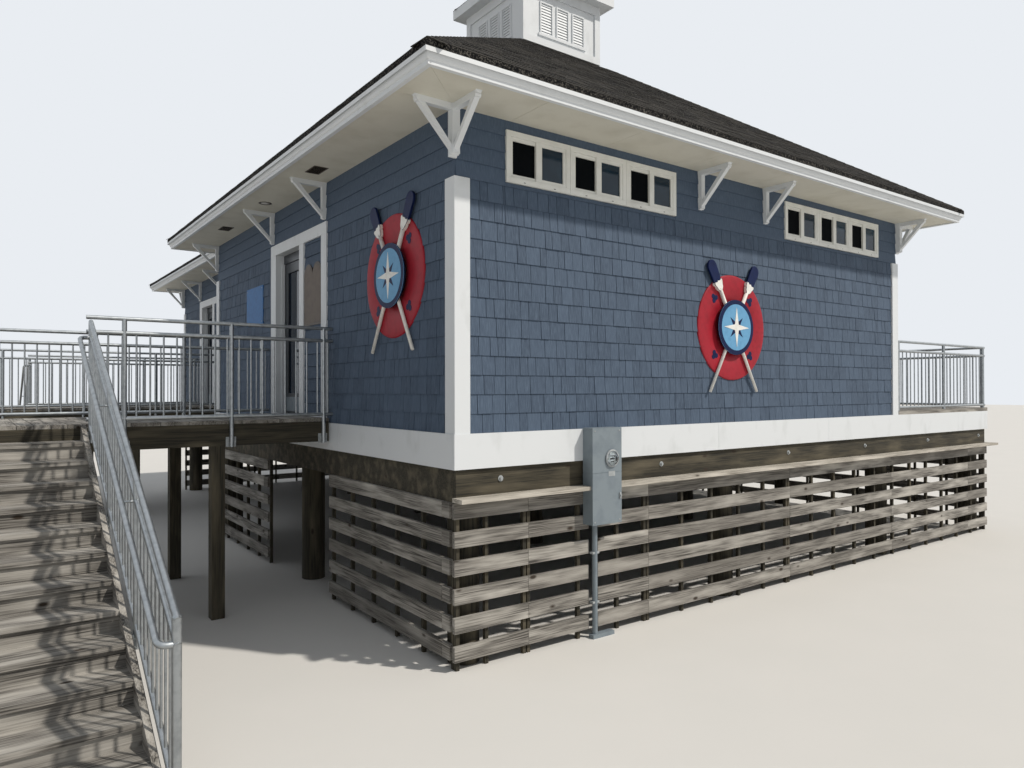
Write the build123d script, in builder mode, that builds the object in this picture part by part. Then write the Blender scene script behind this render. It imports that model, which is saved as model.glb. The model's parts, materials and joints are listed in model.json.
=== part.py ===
from build123d import *
import math
import os

# Lifeguard station: a hip-roofed frame building on piles, with decks and stairs.
# Millimetres. Z is up and 0 is the lowest ground. X runs along the front (south) wall,
# Y runs back along the door (west) side, and the origin is under the middle of the main block.

# Plan
MAIN = 7925
REAR_SETBACK = 820
REAR_DEPTH = 6340
EAST_DECK = 3200
WALL = 150
SEAT_GAP = 0.3
CUT_OVER = 1

# Levels
DECK_TOP = 2180
SILL_STEP = 10
SIDING_BASE = 2120
BAND_HEIGHT = 320
WALL_HEIGHT = 2940

# Base
PILE_DIA = 300
PILE_INSET = 210
RIM_THICK = 140
RIM_HEIGHT = 620
GIRDER_HEIGHT = 300
GIRDER_WIDTH = 140
JOIST_HEIGHT = 260
JOIST_WIDTH = 45
JOIST_PITCH = 610
BOARD_THICK = 38
BAND_THICK = 38

# Slatted skirt and the ledge over it
SLATS = 6
SLAT_HEIGHT = 140
SLAT_PITCH = 254
SLAT_THICK = 38
BATTEN_WIDTH = 41
BATTEN_DEPTH = 50
BATTEN_PITCH = 560
SOUTH_BATTENS = (-3631, -3197, -3143, -2509, -2200, -1963, -1554, -1500, -942, -420, 100, 600)
SOUTH_JOINT = 1112
JOINT_HALF = 27
CAP_THICK = 38
CAP_REACH = 160
CAP_LIFT = 50

# Roof
EAVE = 700
SLOPE = 8 / 12
ROOF_EDGE = 49
ROOF_SHELL = 180
SOFFIT_THICK = 30
FASCIA_DROP = 19
FASCIA_THICK = 43
FASCIA_SETBACK = 47
CROWN_HEIGHT = 98
CROWN_FOOT = 35
CROWN_HOLLOW = (30, 50)
CROWN_SWELL = (10, 95)
CROWN_LIP = 4

# Cupola
CUPOLA = 1524
CUPOLA_WALL = 90
CUPOLA_HEIGHT = 930
CUPOLA_EAVE = 188
CUPOLA_FASCIA = 150
CUPOLA_BASE_BOARD = 110
CUPOLA_FRIEZE = 140
CUPOLA_TRIM = 25
CUPOLA_CORNER = 110
CUPOLA_SILL = (960, 40)
CUPOLA_TIP = 20
LOUVRE_WIDTH = 215
LOUVRE_HEIGHT = 480
LOUVRE_PITCH = 325
LOUVRE_SILL = 190
LOUVRE_BLADE_PITCH = 60
LOUVRE_BLADE = 62
LOUVRE_BLADE_THICK = 10
LOUVRE_TILT = 35
LOUVRE_STILE = 16

# Windows, three units in a row
UNIT_WIDTH = 789
UNIT_HEIGHT = 490
UNITS = 3
WINDOW_SIDE = 544
WINDOW_SILL = 2352
CASING_LAP = 40
CASING_PROUD = 30
PANE_WIDTH = 255
PANE_HEIGHT = 370
MEETING_STILE = 80
GLASS = 6
GLASS_INSET = 60

# Doorways
DOORWAY_WIDTH = 2058
DOORWAY_HEIGHT = 2458
JAMB_FACE = 165
HEAD_FACE = 190
HINGE_RADIUS = 7
HINGE_HEIGHT = 90
HINGE_WING = 30
HINGE_INSET = 250
DOOR_WIDTH = 914
DOOR_HEIGHT = 2108
DOOR_THICK = 45
DOOR_FRAME_FACE = 45
DOOR_GAP = 5
DOOR_STILE = 120
DOOR_KICK = 260
MULLION = 155
PANEL_THICK = 40
HANDLE_INSET = 60
HANDLE_HEIGHT = 1000
HANDLE_ROSE = 52
HANDLE_ROSE_THICK = 8
HANDLE_SPINDLE = 18
HANDLE_REACH = 55
LEVER_LENGTH = 125
LEVER_HEIGHT = 20
LEVER_THICK = 14
REAR_DOORWAY_OFFSET = 3707

# Corner boards and eave brackets
CORNER_BOARD = 165
CORNER_PROUD = 30
CORNER_HEIGHT = 2311
BRACKET_LEG = 470
BRACKET_REACH = 450
BRACKET_TIMBER = 88
BRACE_START = 20
BRACE_WIDTH = 60
SCALLOP_LARGE = 26
SCALLOP_SMALL = 18
SCALLOP_STEP = 36
BRACKET_PAIR_SOUTH = 625
BRACKET_PAIR_DOOR = 960

# Entrance walkways, stairs and guards
WALK_WIDTH = 2275
WALK_LENGTH = 2580
STAIR_WIDTH = 1830
RISERS = 14
GOING = 305
TREAD_NOSE = 25
RISER_THICK = 25
STRINGER_THICK = 45
STRINGER_DEPTH = 286
FASCIA_BOARD = 240
POST_SIZE = 140
PIPE_DIA = 48
PIPE_SIDES = 8
NEWEL_DIA = 60
RAIL_DIA = 42
PICKET = 19
PICKET_PITCH = 127
TOP_RAIL = 1090
SECOND_RAIL = 945
BOTTOM_RAIL = 70
GUARD_FOOT = 290
PLATE_SIZE = 110
PLATE_THICK = 10
PLATE_LAP = 4
STAIR_GUARD_FOOT = 120
SIDE_POSTS = (1130, 2240)
BACK_POSTS = 5
END_POSTS = 3
STAIR_POSTS = 4
DECK_POSTS = (3, 9, 4)
HANDRAIL_HEIGHT = 940
HANDRAIL_REACH = 100

# Roundels
RING_DIA = 1270
RING_HOLE = 520
RING_THICK = 90
OAR_LENGTH = 1780
OAR_TILT = 30
OAR_SHAFT = 44
BLADE_LENGTH = 520
BLADE_WIDTH = 150
BLADE_NECK = 182
MEDALLION_DIA = 660
MEDALLION_THICK = 22
SOUTH_ROUNDEL = (-50, 3260)
WEST_ROUNDEL = (-2800, 3680)

# Meter cabinet and sign boards
CABINET = (400, 145, 970)
CABINET_X = -2280
CABINET_SILL = 1160
CABINET_SEAM = 517
SEAM_HEIGHT = 4
SEAM_DEPTH = 3
DOME_RADIUS = 90
DOME_DEPTH = 60
DOME_TAPER = 20
DOME_OFFSET = 61
DOME_LEVEL = 660
CONDUIT_DIA = 55
CONDUIT_OFFSET = -70
CONDUIT_STANDOFF = 30
CONDUIT_SLOT = (-2400, -2276)
FOOT_PLATE = (290, 70, 40)
TABLET = (580, 790)
TABLET_SILL = 1160
SIGN = (800, 580)
SIGN_X = -1830
SIGN_MIDDLE = 1617
SIGN_THICK = 20

# Worked out from the sizes above
HALF = MAIN / 2
REAR_HALF = HALF - REAR_SETBACK
REAR_END = HALF + REAR_DEPTH
EAST_EDGE = HALF + EAST_DECK
FLOOR_TOP = DECK_TOP + SILL_STEP
BAND_BASE = SIDING_BASE - BAND_HEIGHT
RIM_BASE = SIDING_BASE - RIM_HEIGHT
GIRDER_TOP = RIM_BASE + GIRDER_HEIGHT
JOIST_TOP = GIRDER_TOP + JOIST_HEIGHT
SOFFIT_Z = SIDING_BASE + WALL_HEIGHT
ROOF_BASE = SOFFIT_Z + CROWN_HEIGHT
ROOF_EDGE_Z = ROOF_BASE + ROOF_EDGE
MAIN_EAVE = HALF + EAVE
REAR_EAVE = REAR_HALF + EAVE
CUPOLA_HALF = CUPOLA / 2
CUPOLA_BASE = ROOF_EDGE_Z + (MAIN_EAVE - CUPOLA_HALF) * SLOPE
CUPOLA_TOP = CUPOLA_BASE + CUPOLA_HEIGHT
WALK_HALF = WALK_WIDTH / 2
STAIR_EDGE = -HALF - WALK_LENGTH
WALK_END = STAIR_EDGE - STAIR_WIDTH
RISE = DECK_TOP / RISERS
FLIGHT = (RISERS - 1) * GOING
GUARD_LINE = PIPE_DIA / 2 + PLATE_THICK
CORNER_GAP = PIPE_DIA / 2 + SEAT_GAP
PLATE_REACH = PLATE_THICK + PLATE_LAP

os.makedirs("parts", exist_ok=True)


def save(piece, name):
    """Writes one node of the building."""
    piece.part.label = name
    export_step(piece.part, f"parts/{name}.step")
    print(name, len(piece.part.solids()), "solids")


def block(x, y, z, mode=Mode.ADD):
    """A straight-sided timber between two corners, given as (low, high) on each axis."""
    with Locations(((x[0] + x[1]) / 2, (y[0] + y[1]) / 2, (z[0] + z[1]) / 2)):
        Box(x[1] - x[0], y[1] - y[0], z[1] - z[0], mode=mode)


def platform_outline(grow=0, mode=Mode.ADD):
    """Plan of the raised platform, grown outward on every side."""
    g = grow
    with BuildLine() as outline:
        Polyline(
            (-HALF - g, -HALF - g),
            (EAST_EDGE + g, -HALF - g),
            (EAST_EDGE + g, REAR_END + g),
            (-REAR_HALF - g, REAR_END + g),
            (-REAR_HALF - g, HALF + g),
            (-HALF - g, HALF + g),
            close=True,
        )
    make_face(outline.edges(), mode=mode)


def eave_outline(grow=0, mode=Mode.ADD):
    """Plan of both blocks' walls, grown outward to the eaves."""
    g = grow
    with BuildLine() as outline:
        Polyline(
            (-HALF - g, -HALF - g),
            (HALF + g, -HALF - g),
            (HALF + g, HALF + g),
            (REAR_HALF + g, HALF + g),
            (REAR_HALF + g, REAR_END + g),
            (-REAR_HALF - g, REAR_END + g),
            (-REAR_HALF - g, HALF + g),
            (-HALF - g, HALF + g),
            close=True,
        )
    make_face(outline.edges(), mode=mode)


# Faces of the building: the sketch's x runs to the right as seen from outside, y is up.
SOUTH = Plane(origin=(0, -HALF, 0), x_dir=(1, 0, 0), z_dir=(0, -1, 0))
WEST = Plane(origin=(-HALF, 0, 0), x_dir=(0, -1, 0), z_dir=(-1, 0, 0))
EAST = Plane(origin=(HALF, 0, 0), x_dir=(0, 1, 0), z_dir=(1, 0, 0))
NORTH = Plane(origin=(0, HALF, 0), x_dir=(-1, 0, 0), z_dir=(0, 1, 0))
REAR_WEST = Plane(origin=(-REAR_HALF, HALF + REAR_DOORWAY_OFFSET, 0), x_dir=(0, -1, 0), z_dir=(-1, 0, 0))
REAR_EAST = Plane(origin=(REAR_HALF, HALF + REAR_DOORWAY_OFFSET, 0), x_dir=(0, 1, 0), z_dir=(1, 0, 0))
REAR_NORTH = Plane(origin=(0, REAR_END, 0), x_dir=(-1, 0, 0), z_dir=(0, 1, 0))

WINDOW_WIDTH = UNITS * UNIT_WIDTH
WINDOW_X = HALF - WINDOW_SIDE - WINDOW_WIDTH / 2
WINDOW_Z = SIDING_BASE + WINDOW_SILL + UNIT_HEIGHT / 2
WINDOW_GROUPS = (
    (SOUTH, -WINDOW_X),
    (SOUTH, WINDOW_X),
    (EAST, -WINDOW_X),
    (EAST, WINDOW_X),
    (REAR_NORTH, 0),
    (REAR_EAST, 0),
)
DOORWAY_CUT = DOORWAY_WIDTH - 2 * CASING_LAP
DOORWAY_TOP = SIDING_BASE + DOORWAY_HEIGHT - CASING_LAP
DOORWAYS = (WEST, EAST, REAR_WEST)


def window_holes(face):
    """Cuts the window rows that belong to one face out of its sketch."""
    for plane, x in WINDOW_GROUPS:
        if plane is face:
            with Locations((x, WINDOW_Z)):
                Rectangle(WINDOW_WIDTH - 2 * CASING_LAP, UNIT_HEIGHT - 2 * CASING_LAP, mode=Mode.SUBTRACT)


def doorway_hole():
    with Locations((0, (SIDING_BASE + DOORWAY_TOP) / 2)):
        Rectangle(DOORWAY_CUT, DOORWAY_TOP - SIDING_BASE, mode=Mode.SUBTRACT)


def wall(name, face, left, right, windows=False, doorway=False, base=SIDING_BASE):
    """A framed wall from its left to its right end on a face, with its openings cut through."""
    with BuildPart() as panel:
        with BuildSketch(face):
            with Locations(((left + right) / 2, (base + SOFFIT_Z) / 2)):
                Rectangle(right - left, SOFFIT_Z - base)
            if windows:
                window_holes(face)
            if doorway:
                doorway_hole()
        extrude(amount=-WALL)
    save(panel, name)


# Walls of the main block
wall("south_wall", SOUTH, -HALF, HALF, windows=True)
wall("west_wall_south", WEST, DOORWAY_CUT / 2, HALF - WALL)
wall("west_wall_north", WEST, -HALF, -DOORWAY_CUT / 2)
wall("west_wall_head", WEST, -DOORWAY_CUT / 2, DOORWAY_CUT / 2, base=DOORWAY_TOP)
wall("east_wall", EAST, -HALF + WALL, HALF, windows=True, doorway=True)

with BuildPart() as returns:
    with BuildSketch(NORTH):
        for side in (-1, 1):
            with Locations((side * (HALF + REAR_HALF - 2 * WALL) / 2, (SIDING_BASE + SOFFIT_Z) / 2)):
                Rectangle(REAR_SETBACK, WALL_HEIGHT)
    extrude(amount=-WALL)
save(returns, "north_return_walls")

# Walls of the rear block
REAR_MIDDLE = HALF + REAR_DOORWAY_OFFSET
wall("rear_west_wall", REAR_WEST, REAR_MIDDLE - REAR_END + WALL, REAR_DOORWAY_OFFSET, doorway=True)
wall("rear_east_wall", REAR_EAST, -REAR_DOORWAY_OFFSET, REAR_END - WALL - REAR_MIDDLE, windows=True)
wall("rear_north_wall", REAR_NORTH, -REAR_HALF, REAR_HALF, windows=True)

# Base: piles, girders, rim beams, joists and boards
PILE_X = (-HALF + PILE_INSET, 0, HALF - PILE_INSET, EAST_EDGE - PILE_INSET)
PILE_Y = (-HALF + PILE_INSET, 0, HALF - PILE_INSET, (HALF + REAR_END) / 2, REAR_END - PILE_INSET)


def pile_places():
    for row in PILE_Y:
        for column in PILE_X:
            if row > HALF and column < -REAR_HALF:
                column = -REAR_HALF + PILE_INSET
            yield column, row


with BuildPart() as piles:
    with BuildSketch():
        with Locations(*pile_places()):
            Circle(PILE_DIA / 2)
    extrude(amount=RIM_BASE)
save(piles, "piles")

with BuildPart() as rim:
    with BuildSketch(Plane.XY.offset(RIM_BASE)):
        platform_outline()
        platform_outline(-RIM_THICK, mode=Mode.SUBTRACT)
    extrude(amount=RIM_HEIGHT)
save(rim, "rim_beams")

# Girders along Y with the joists across them, framed together
with BuildPart() as floor_frame:
    for column in (0, HALF - PILE_INSET):
        block(
            (column - GIRDER_WIDTH / 2, column + GIRDER_WIDTH / 2),
            (-HALF + RIM_THICK, REAR_END - RIM_THICK),
            (RIM_BASE, GIRDER_TOP),
        )
    count = int((MAIN + REAR_DEPTH - 2 * RIM_THICK) / JOIST_PITCH)
    for k in range(1, count + 1):
        y = -HALF + RIM_THICK + k * JOIST_PITCH - JOIST_PITCH / 2
        west = -HALF if y + JOIST_WIDTH / 2 < HALF - RIM_THICK else -REAR_HALF
        block(
            (west + RIM_THICK, EAST_EDGE - RIM_THICK),
            (y - JOIST_WIDTH / 2, y + JOIST_WIDTH / 2),
            (GIRDER_TOP, JOIST_TOP),
        )
save(floor_frame, "floor_frame")

with BuildPart() as floor:
    with BuildSketch(Plane.XY.offset(SIDING_BASE)):
        eave_outline(-WALL)
    extrude(amount=FLOOR_TOP - SIDING_BASE)
    with BuildSketch(Plane.XY.offset(JOIST_TOP)):
        platform_outline(-RIM_THICK)
    extrude(amount=SIDING_BASE - JOIST_TOP)
save(floor, "floor")

with BuildPart() as east_deck:
    with BuildSketch(Plane.XY.offset(SIDING_BASE)):
        platform_outline(BAND_THICK)
        with BuildLine():
            Polyline(
                (-HALF - 2 * BAND_THICK, -HALF - 2 * BAND_THICK),
                (HALF + CORNER_PROUD, -HALF - 2 * BAND_THICK),
                (HALF + CORNER_PROUD, HALF + CORNER_PROUD),
                (REAR_HALF + CORNER_PROUD, HALF + CORNER_PROUD),
                (REAR_HALF + CORNER_PROUD, REAR_END + 2 * BAND_THICK),
                (-HALF - 2 * BAND_THICK, REAR_END + 2 * BAND_THICK),
                close=True,
            )
        make_face(mode=Mode.SUBTRACT)
    extrude(amount=DECK_TOP - SIDING_BASE)
save(east_deck, "east_deck_boards")

# White band round the platform
with BuildPart() as band:
    with BuildSketch(Plane.XY.offset(BAND_BASE)):
        platform_outline(BAND_THICK)
        platform_outline(mode=Mode.SUBTRACT)
    extrude(amount=BAND_HEIGHT)
save(band, "water_table")

# Ledge over the skirt, on the south, east and north sides, notched round the meter cabinet
CAP_TOP = RIM_BASE + CAP_LIFT
CABINET_SPAN = (CABINET_X - CABINET[0] / 2, CABINET_X + CABINET[0] / 2)
with BuildPart() as cap:
    with BuildSketch(Plane.XY.offset(CAP_TOP - CAP_THICK)):
        with BuildLine():
            Polyline(
                (-HALF - SLAT_THICK, -HALF),
                (-HALF - SLAT_THICK, -HALF - CAP_REACH),
                (EAST_EDGE + CAP_REACH, -HALF - CAP_REACH),
                (EAST_EDGE + CAP_REACH, REAR_END + CAP_REACH),
                (-REAR_HALF - SLAT_THICK, REAR_END + CAP_REACH),
                (-REAR_HALF - SLAT_THICK, REAR_END),
                (EAST_EDGE, REAR_END),
                (EAST_EDGE, -HALF),
                close=True,
            )
        make_face()
        with Locations((CABINET_X, -HALF - CAP_REACH)):
            Rectangle(CABINET[0], 2 * (CAP_REACH - SLAT_THICK), mode=Mode.SUBTRACT)
    extrude(amount=CAP_THICK)
save(cap, "skirt_ledge")


def even_battens(left, right):
    """Batten places over one stretch, with one at each end."""
    bays = max(1, round((right - left) / BATTEN_PITCH))
    span = right - left - BATTEN_WIDTH
    return [left + BATTEN_WIDTH / 2 + k * span / bays for k in range(bays + 1)]


def skirt(name, face, runs, battens):
    """Horizontal slats over the stretches given as (left, right) on a face, on upright battens."""
    top = RIM_BASE
    with BuildPart() as panel:
        with BuildSketch(face) as slats:
            for left, right in runs:
                for k in range(SLATS):
                    with Locations(((left + right) / 2, top - SLAT_HEIGHT / 2 - k * SLAT_PITCH)):
                        Rectangle(right - left, SLAT_HEIGHT)
        extrude(slats.sketch, amount=SLAT_THICK)
        with BuildSketch(face) as uprights:
            with Locations(*[(x, top / 2) for x in battens]):
                Rectangle(BATTEN_WIDTH, top)
        extrude(uprights.sketch, amount=-BATTEN_DEPTH)
    save(panel, name)


DECK_EAST = Plane(origin=(EAST_EDGE, 0, 0), x_dir=(0, 1, 0), z_dir=(1, 0, 0))
# The front has its slats cut at the meter's conduit, and its battens doubled at the slats' joints
SOUTH_RUNS = ((-HALF, CONDUIT_SLOT[0]), (CONDUIT_SLOT[1], EAST_EDGE))
SLOT_BATTENS = (CONDUIT_SLOT[0] - BATTEN_WIDTH, CONDUIT_SLOT[1] + BATTEN_WIDTH)
south_places = [-HALF + BATTEN_WIDTH / 2, *SOUTH_BATTENS, *SLOT_BATTENS]
south_places.append(SOUTH_JOINT - JOINT_HALF)
south_places += even_battens(SOUTH_JOINT + JOINT_HALF - BATTEN_WIDTH / 2, EAST_EDGE)
skirt("skirt_south", SOUTH, SOUTH_RUNS, south_places)
east_run = (-HALF + BATTEN_DEPTH, REAR_END - BATTEN_DEPTH)
skirt("skirt_east", DECK_EAST, [east_run], even_battens(*east_run))
north_run = (-EAST_EDGE, REAR_HALF)
skirt("skirt_north", REAR_NORTH, [north_run], even_battens(*north_run))
west_runs = ((WALK_HALF, HALF - BATTEN_DEPTH), (-HALF, -WALK_HALF))
skirt("skirt_west", WEST, west_runs, even_battens(*west_runs[0]) + even_battens(*west_runs[1]))


def board_on(face, x, z, width, height, thick):
    """A flat board standing proud of a face, centred on x and z."""
    with BuildSketch(face) as outline:
        with Locations((x, z)):
            Rectangle(width, height)
    extrude(outline.sketch, amount=thick)


# Corner boards, one pair to each outer corner
with BuildPart() as corners:
    corner_z = (SIDING_BASE, SIDING_BASE + CORNER_HEIGHT)
    places = [(-HALF, -HALF, -1, -1), (HALF, -HALF, 1, -1), (-HALF, HALF, -1, 1), (HALF, HALF, 1, 1)]
    places += [(-REAR_HALF, REAR_END, -1, 1), (REAR_HALF, REAR_END, 1, 1)]
    for x, y, east, north in places:
        outer_x = x + east * CORNER_PROUD
        outer_y = y + north * CORNER_PROUD
        inner_x = outer_x - east * CORNER_BOARD
        inner_y = outer_y - north * CORNER_BOARD
        block(sorted((outer_x, inner_x)), sorted((y, outer_y)), corner_z)
        block(sorted((x, outer_x)), sorted((outer_y, inner_y)), corner_z)
save(corners, "corner_boards")

# Soffit and ceiling, one flat layer over the walls out to the fascia
with BuildPart() as soffit:
    with BuildSketch(Plane.XY.offset(SOFFIT_Z)):
        eave_outline(EAVE - FASCIA_SETBACK - FASCIA_THICK)
    extrude(amount=SOFFIT_THICK)
save(soffit, "soffit")

# Fascia with its crown, swept round both blocks
FASCIA_IN = EAVE - FASCIA_SETBACK - FASCIA_THICK
with BuildPart() as fascia:
    with BuildLine() as eave_path:
        g = EAVE
        Polyline(
            (0, -HALF - g, ROOF_BASE),
            (HALF + g, -HALF - g, ROOF_BASE),
            (HALF + g, HALF + g, ROOF_BASE),
            (REAR_HALF + g, HALF + g, ROOF_BASE),
            (REAR_HALF + g, REAR_END + g, ROOF_BASE),
            (-REAR_HALF - g, REAR_END + g, ROOF_BASE),
            (-REAR_HALF - g, HALF + g, ROOF_BASE),
            (-HALF - g, HALF + g, ROOF_BASE),
            (-HALF - g, -HALF - g, ROOF_BASE),
            (0, -HALF - g, ROOF_BASE),
        )
    with BuildSketch(Plane(origin=(0, -HALF - EAVE, ROOF_BASE), x_dir=(0, 1, 0), z_dir=(1, 0, 0))):
        with BuildLine():
            low = -CROWN_HEIGHT - FASCIA_DROP
            inner = FASCIA_SETBACK + FASCIA_THICK
            outer = Line((FASCIA_SETBACK, low), (FASCIA_SETBACK, low + CROWN_FOOT))
            crown = Bezier(
                outer @ 1,
                (FASCIA_SETBACK - CROWN_HOLLOW[0], low + CROWN_HOLLOW[1]),
                (FASCIA_SETBACK - CROWN_SWELL[0], low + CROWN_SWELL[1]),
                (CROWN_LIP, 0),
            )
            Polyline(crown @ 1, (inner, 0), (inner, low), outer @ 0)
        make_face()
    sweep(path=eave_path.line, transition=Transition.RIGHT)
save(fascia, "eave_fascia")


def hip_frustum(half, z_base, z_top, mode=Mode.ADD):
    """Four equal slopes from a square eave up to a level top."""
    top_half = half - (z_top - z_base) / SLOPE
    with BuildSketch(Plane.XY.offset(z_base)) as low:
        Rectangle(2 * half, 2 * half)
    with BuildSketch(Plane.XY.offset(z_top)) as high:
        Rectangle(2 * top_half, 2 * top_half)
    loft([low.sketch.face(), high.sketch.face()], mode=mode)


# Main roof shell, open under the cupola
with BuildPart() as main_outer:
    with BuildSketch(Plane.XY.offset(ROOF_BASE)):
        Rectangle(2 * MAIN_EAVE, 2 * MAIN_EAVE)
    extrude(amount=ROOF_EDGE)
    hip_frustum(MAIN_EAVE, ROOF_EDGE_Z, CUPOLA_BASE)

SHELL_INSET = (ROOF_SHELL - ROOF_EDGE) / SLOPE
with BuildPart() as main_roof:
    add(main_outer.part)
    hip_frustum(MAIN_EAVE - SHELL_INSET, ROOF_BASE, CUPOLA_BASE - ROOF_SHELL, mode=Mode.SUBTRACT)
    block(
        (-CUPOLA_HALF + CUPOLA_WALL, CUPOLA_HALF - CUPOLA_WALL),
        (-CUPOLA_HALF + CUPOLA_WALL, CUPOLA_HALF - CUPOLA_WALL),
        (ROOF_BASE, CUPOLA_BASE),
        mode=Mode.SUBTRACT,
    )
save(main_roof, "main_roof")


def hipped_prism(half, z_base, edge, north):
    """The rear block's roof form: a ridge along Y with one hipped end, over an upright edge."""
    eave = z_base + edge
    ridge = eave + half * SLOPE
    with BuildSketch(Plane.XZ) as section:
        with BuildLine():
            Polyline((half, eave), (0, ridge), (-half, eave), close=True)
        make_face()
        if edge:
            with Locations((0, z_base + edge / 2)):
                Rectangle(2 * half, edge)
    extrude(section.sketch, amount=-north)
    with BuildSketch(Plane.YZ.offset(-half - CUT_OVER)) as hip_end:
        with BuildLine():
            over = ridge + CUT_OVER
            inner = north - half - CUT_OVER / SLOPE
            Polyline((north, eave), (north + CUT_OVER, over), (inner, over), close=True)
        make_face()
    extrude(hip_end.sketch, amount=2 * half + 2 * CUT_OVER, mode=Mode.SUBTRACT)


with BuildPart() as rear_inner:
    hipped_prism(REAR_EAVE - SHELL_INSET, ROOF_BASE, 0, REAR_END + EAVE - SHELL_INSET)
with BuildPart() as rear_roof:
    hipped_prism(REAR_EAVE, ROOF_BASE, ROOF_EDGE, REAR_END + EAVE)
    add(rear_inner.part, mode=Mode.SUBTRACT)
    add(main_outer.part, mode=Mode.SUBTRACT)
save(rear_roof, "rear_roof")

# Cupola: walls with louvre openings, louvre blades, trim and a small hip roof
CUPOLA_FACES = []
for quarter in range(4):
    turn = quarter * math.pi / 2
    right = (math.cos(turn), math.sin(turn), 0)
    outward = (math.sin(turn), -math.cos(turn), 0)
    CUPOLA_FACES.append(Plane(origin=(0, 0, 0), x_dir=right, z_dir=outward).offset(CUPOLA_HALF))
LOUVRE_Z = CUPOLA_BASE + LOUVRE_SILL + LOUVRE_HEIGHT / 2
with BuildPart() as cupola:
    with BuildSketch(Plane.XY.offset(CUPOLA_BASE)):
        Rectangle(CUPOLA, CUPOLA)
        Rectangle(CUPOLA - 2 * CUPOLA_WALL, CUPOLA - 2 * CUPOLA_WALL, mode=Mode.SUBTRACT)
        corner_middle = CUPOLA_HALF + CUPOLA_TRIM - CUPOLA_CORNER / 2
        with GridLocations(2 * corner_middle, 2 * corner_middle, 2, 2):
            Rectangle(CUPOLA_CORNER, CUPOLA_CORNER)
    extrude(amount=CUPOLA_HEIGHT)
    for face in CUPOLA_FACES:
        board_on(face, 0, LOUVRE_Z - (LOUVRE_HEIGHT + CUPOLA_SILL[1]) / 2, *CUPOLA_SILL, CUPOLA_TRIM)
    for z, height in ((CUPOLA_BASE, CUPOLA_BASE_BOARD), (CUPOLA_TOP - CUPOLA_FRIEZE, CUPOLA_FRIEZE)):
        with BuildSketch(Plane.XY.offset(z)):
            Rectangle(CUPOLA + 2 * CUPOLA_TRIM, CUPOLA + 2 * CUPOLA_TRIM)
            Rectangle(CUPOLA - CUPOLA_WALL, CUPOLA - CUPOLA_WALL, mode=Mode.SUBTRACT)
        extrude(amount=height)
    with BuildSketch(*CUPOLA_FACES):
        with Locations((0, LOUVRE_Z)):
            with GridLocations(LOUVRE_PITCH, 1, 3, 1):
                Rectangle(LOUVRE_WIDTH, LOUVRE_HEIGHT)
    extrude(amount=-CUPOLA_WALL, mode=Mode.SUBTRACT)
    add(main_outer.part, mode=Mode.SUBTRACT)
save(cupola, "cupola_walls")

with BuildPart() as louvres:
    blades = int(LOUVRE_HEIGHT / LOUVRE_BLADE_PITCH)
    places = []
    for face in CUPOLA_FACES:
        for column in (-1, 0, 1):
            for k in range(blades):
                z = LOUVRE_Z + (k - (blades - 1) / 2) * LOUVRE_BLADE_PITCH
                blade = Location((column * LOUVRE_PITCH, z, 0), (LOUVRE_TILT, 0, 0))
                places.append(face.offset(-CUPOLA_WALL / 2).location * blade)
    with Locations(*places):
        Box(LOUVRE_WIDTH - LOUVRE_STILE, LOUVRE_BLADE_THICK, LOUVRE_BLADE)
    stiles = []
    for face in CUPOLA_FACES:
        for column in (-1, 0, 1):
            for side in (-1, 1):
                x = column * LOUVRE_PITCH + side * (LOUVRE_WIDTH - LOUVRE_STILE) / 2
                stiles.append(face.offset(-CUPOLA_WALL / 2).location * Location((x, LOUVRE_Z, 0)))
    with Locations(*stiles):
        Box(LOUVRE_STILE, LOUVRE_HEIGHT, LOUVRE_BLADE)
save(louvres, "cupola_louvres")

with BuildPart() as cupola_roof:
    eave_half = CUPOLA_HALF + CUPOLA_EAVE
    with BuildSketch(Plane.XY.offset(CUPOLA_TOP)):
        Rectangle(2 * eave_half, 2 * eave_half)
    extrude(amount=CUPOLA_FASCIA)
    with BuildSketch(Plane.XY.offset(CUPOLA_TOP + CUPOLA_FASCIA)):
        Rectangle(2 * eave_half, 2 * eave_half)
    with BuildSketch(Plane.XY.offset(CUPOLA_TOP + CUPOLA_FASCIA + (eave_half - CUPOLA_TIP / 2) * SLOPE)):
        Rectangle(CUPOLA_TIP, CUPOLA_TIP)
    loft()
save(cupola_roof, "cupola_roof")


def bracket_profile():
    """A leg, an arm and a straight brace, with scalloped free ends. The wall is at x 0."""
    t = BRACKET_TIMBER
    Rectangle(t, BRACKET_LEG, align=(Align.MIN, Align.MAX))
    Rectangle(BRACKET_REACH, t, align=(Align.MIN, Align.MAX))
    reach = BRACKET_REACH - t
    with BuildLine() as brace:
        Polyline(
            (t / 2, -reach + BRACE_START),
            (t / 2 + BRACE_WIDTH, -reach),
            (reach, -t / 2 - BRACE_WIDTH),
            (reach - BRACE_START, -t / 2),
            close=True,
        )
    make_face(brace.edges())
    with Locations((t, -BRACKET_LEG), (BRACKET_REACH, -t)):
        Circle(SCALLOP_LARGE, mode=Mode.SUBTRACT)
    with Locations((t - SCALLOP_STEP, -BRACKET_LEG), (BRACKET_REACH, -t + SCALLOP_STEP)):
        Circle(SCALLOP_SMALL, mode=Mode.SUBTRACT)


def bracket(face, x):
    """One eave bracket on a face, at x along it."""
    centre = face.from_local_coords((x - BRACKET_TIMBER / 2, SOFFIT_Z, 0))
    with BuildSketch(Plane(origin=centre, x_dir=face.z_dir, z_dir=-face.x_dir)) as side:
        bracket_profile()
    extrude(side.sketch, amount=-BRACKET_TIMBER)


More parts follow.
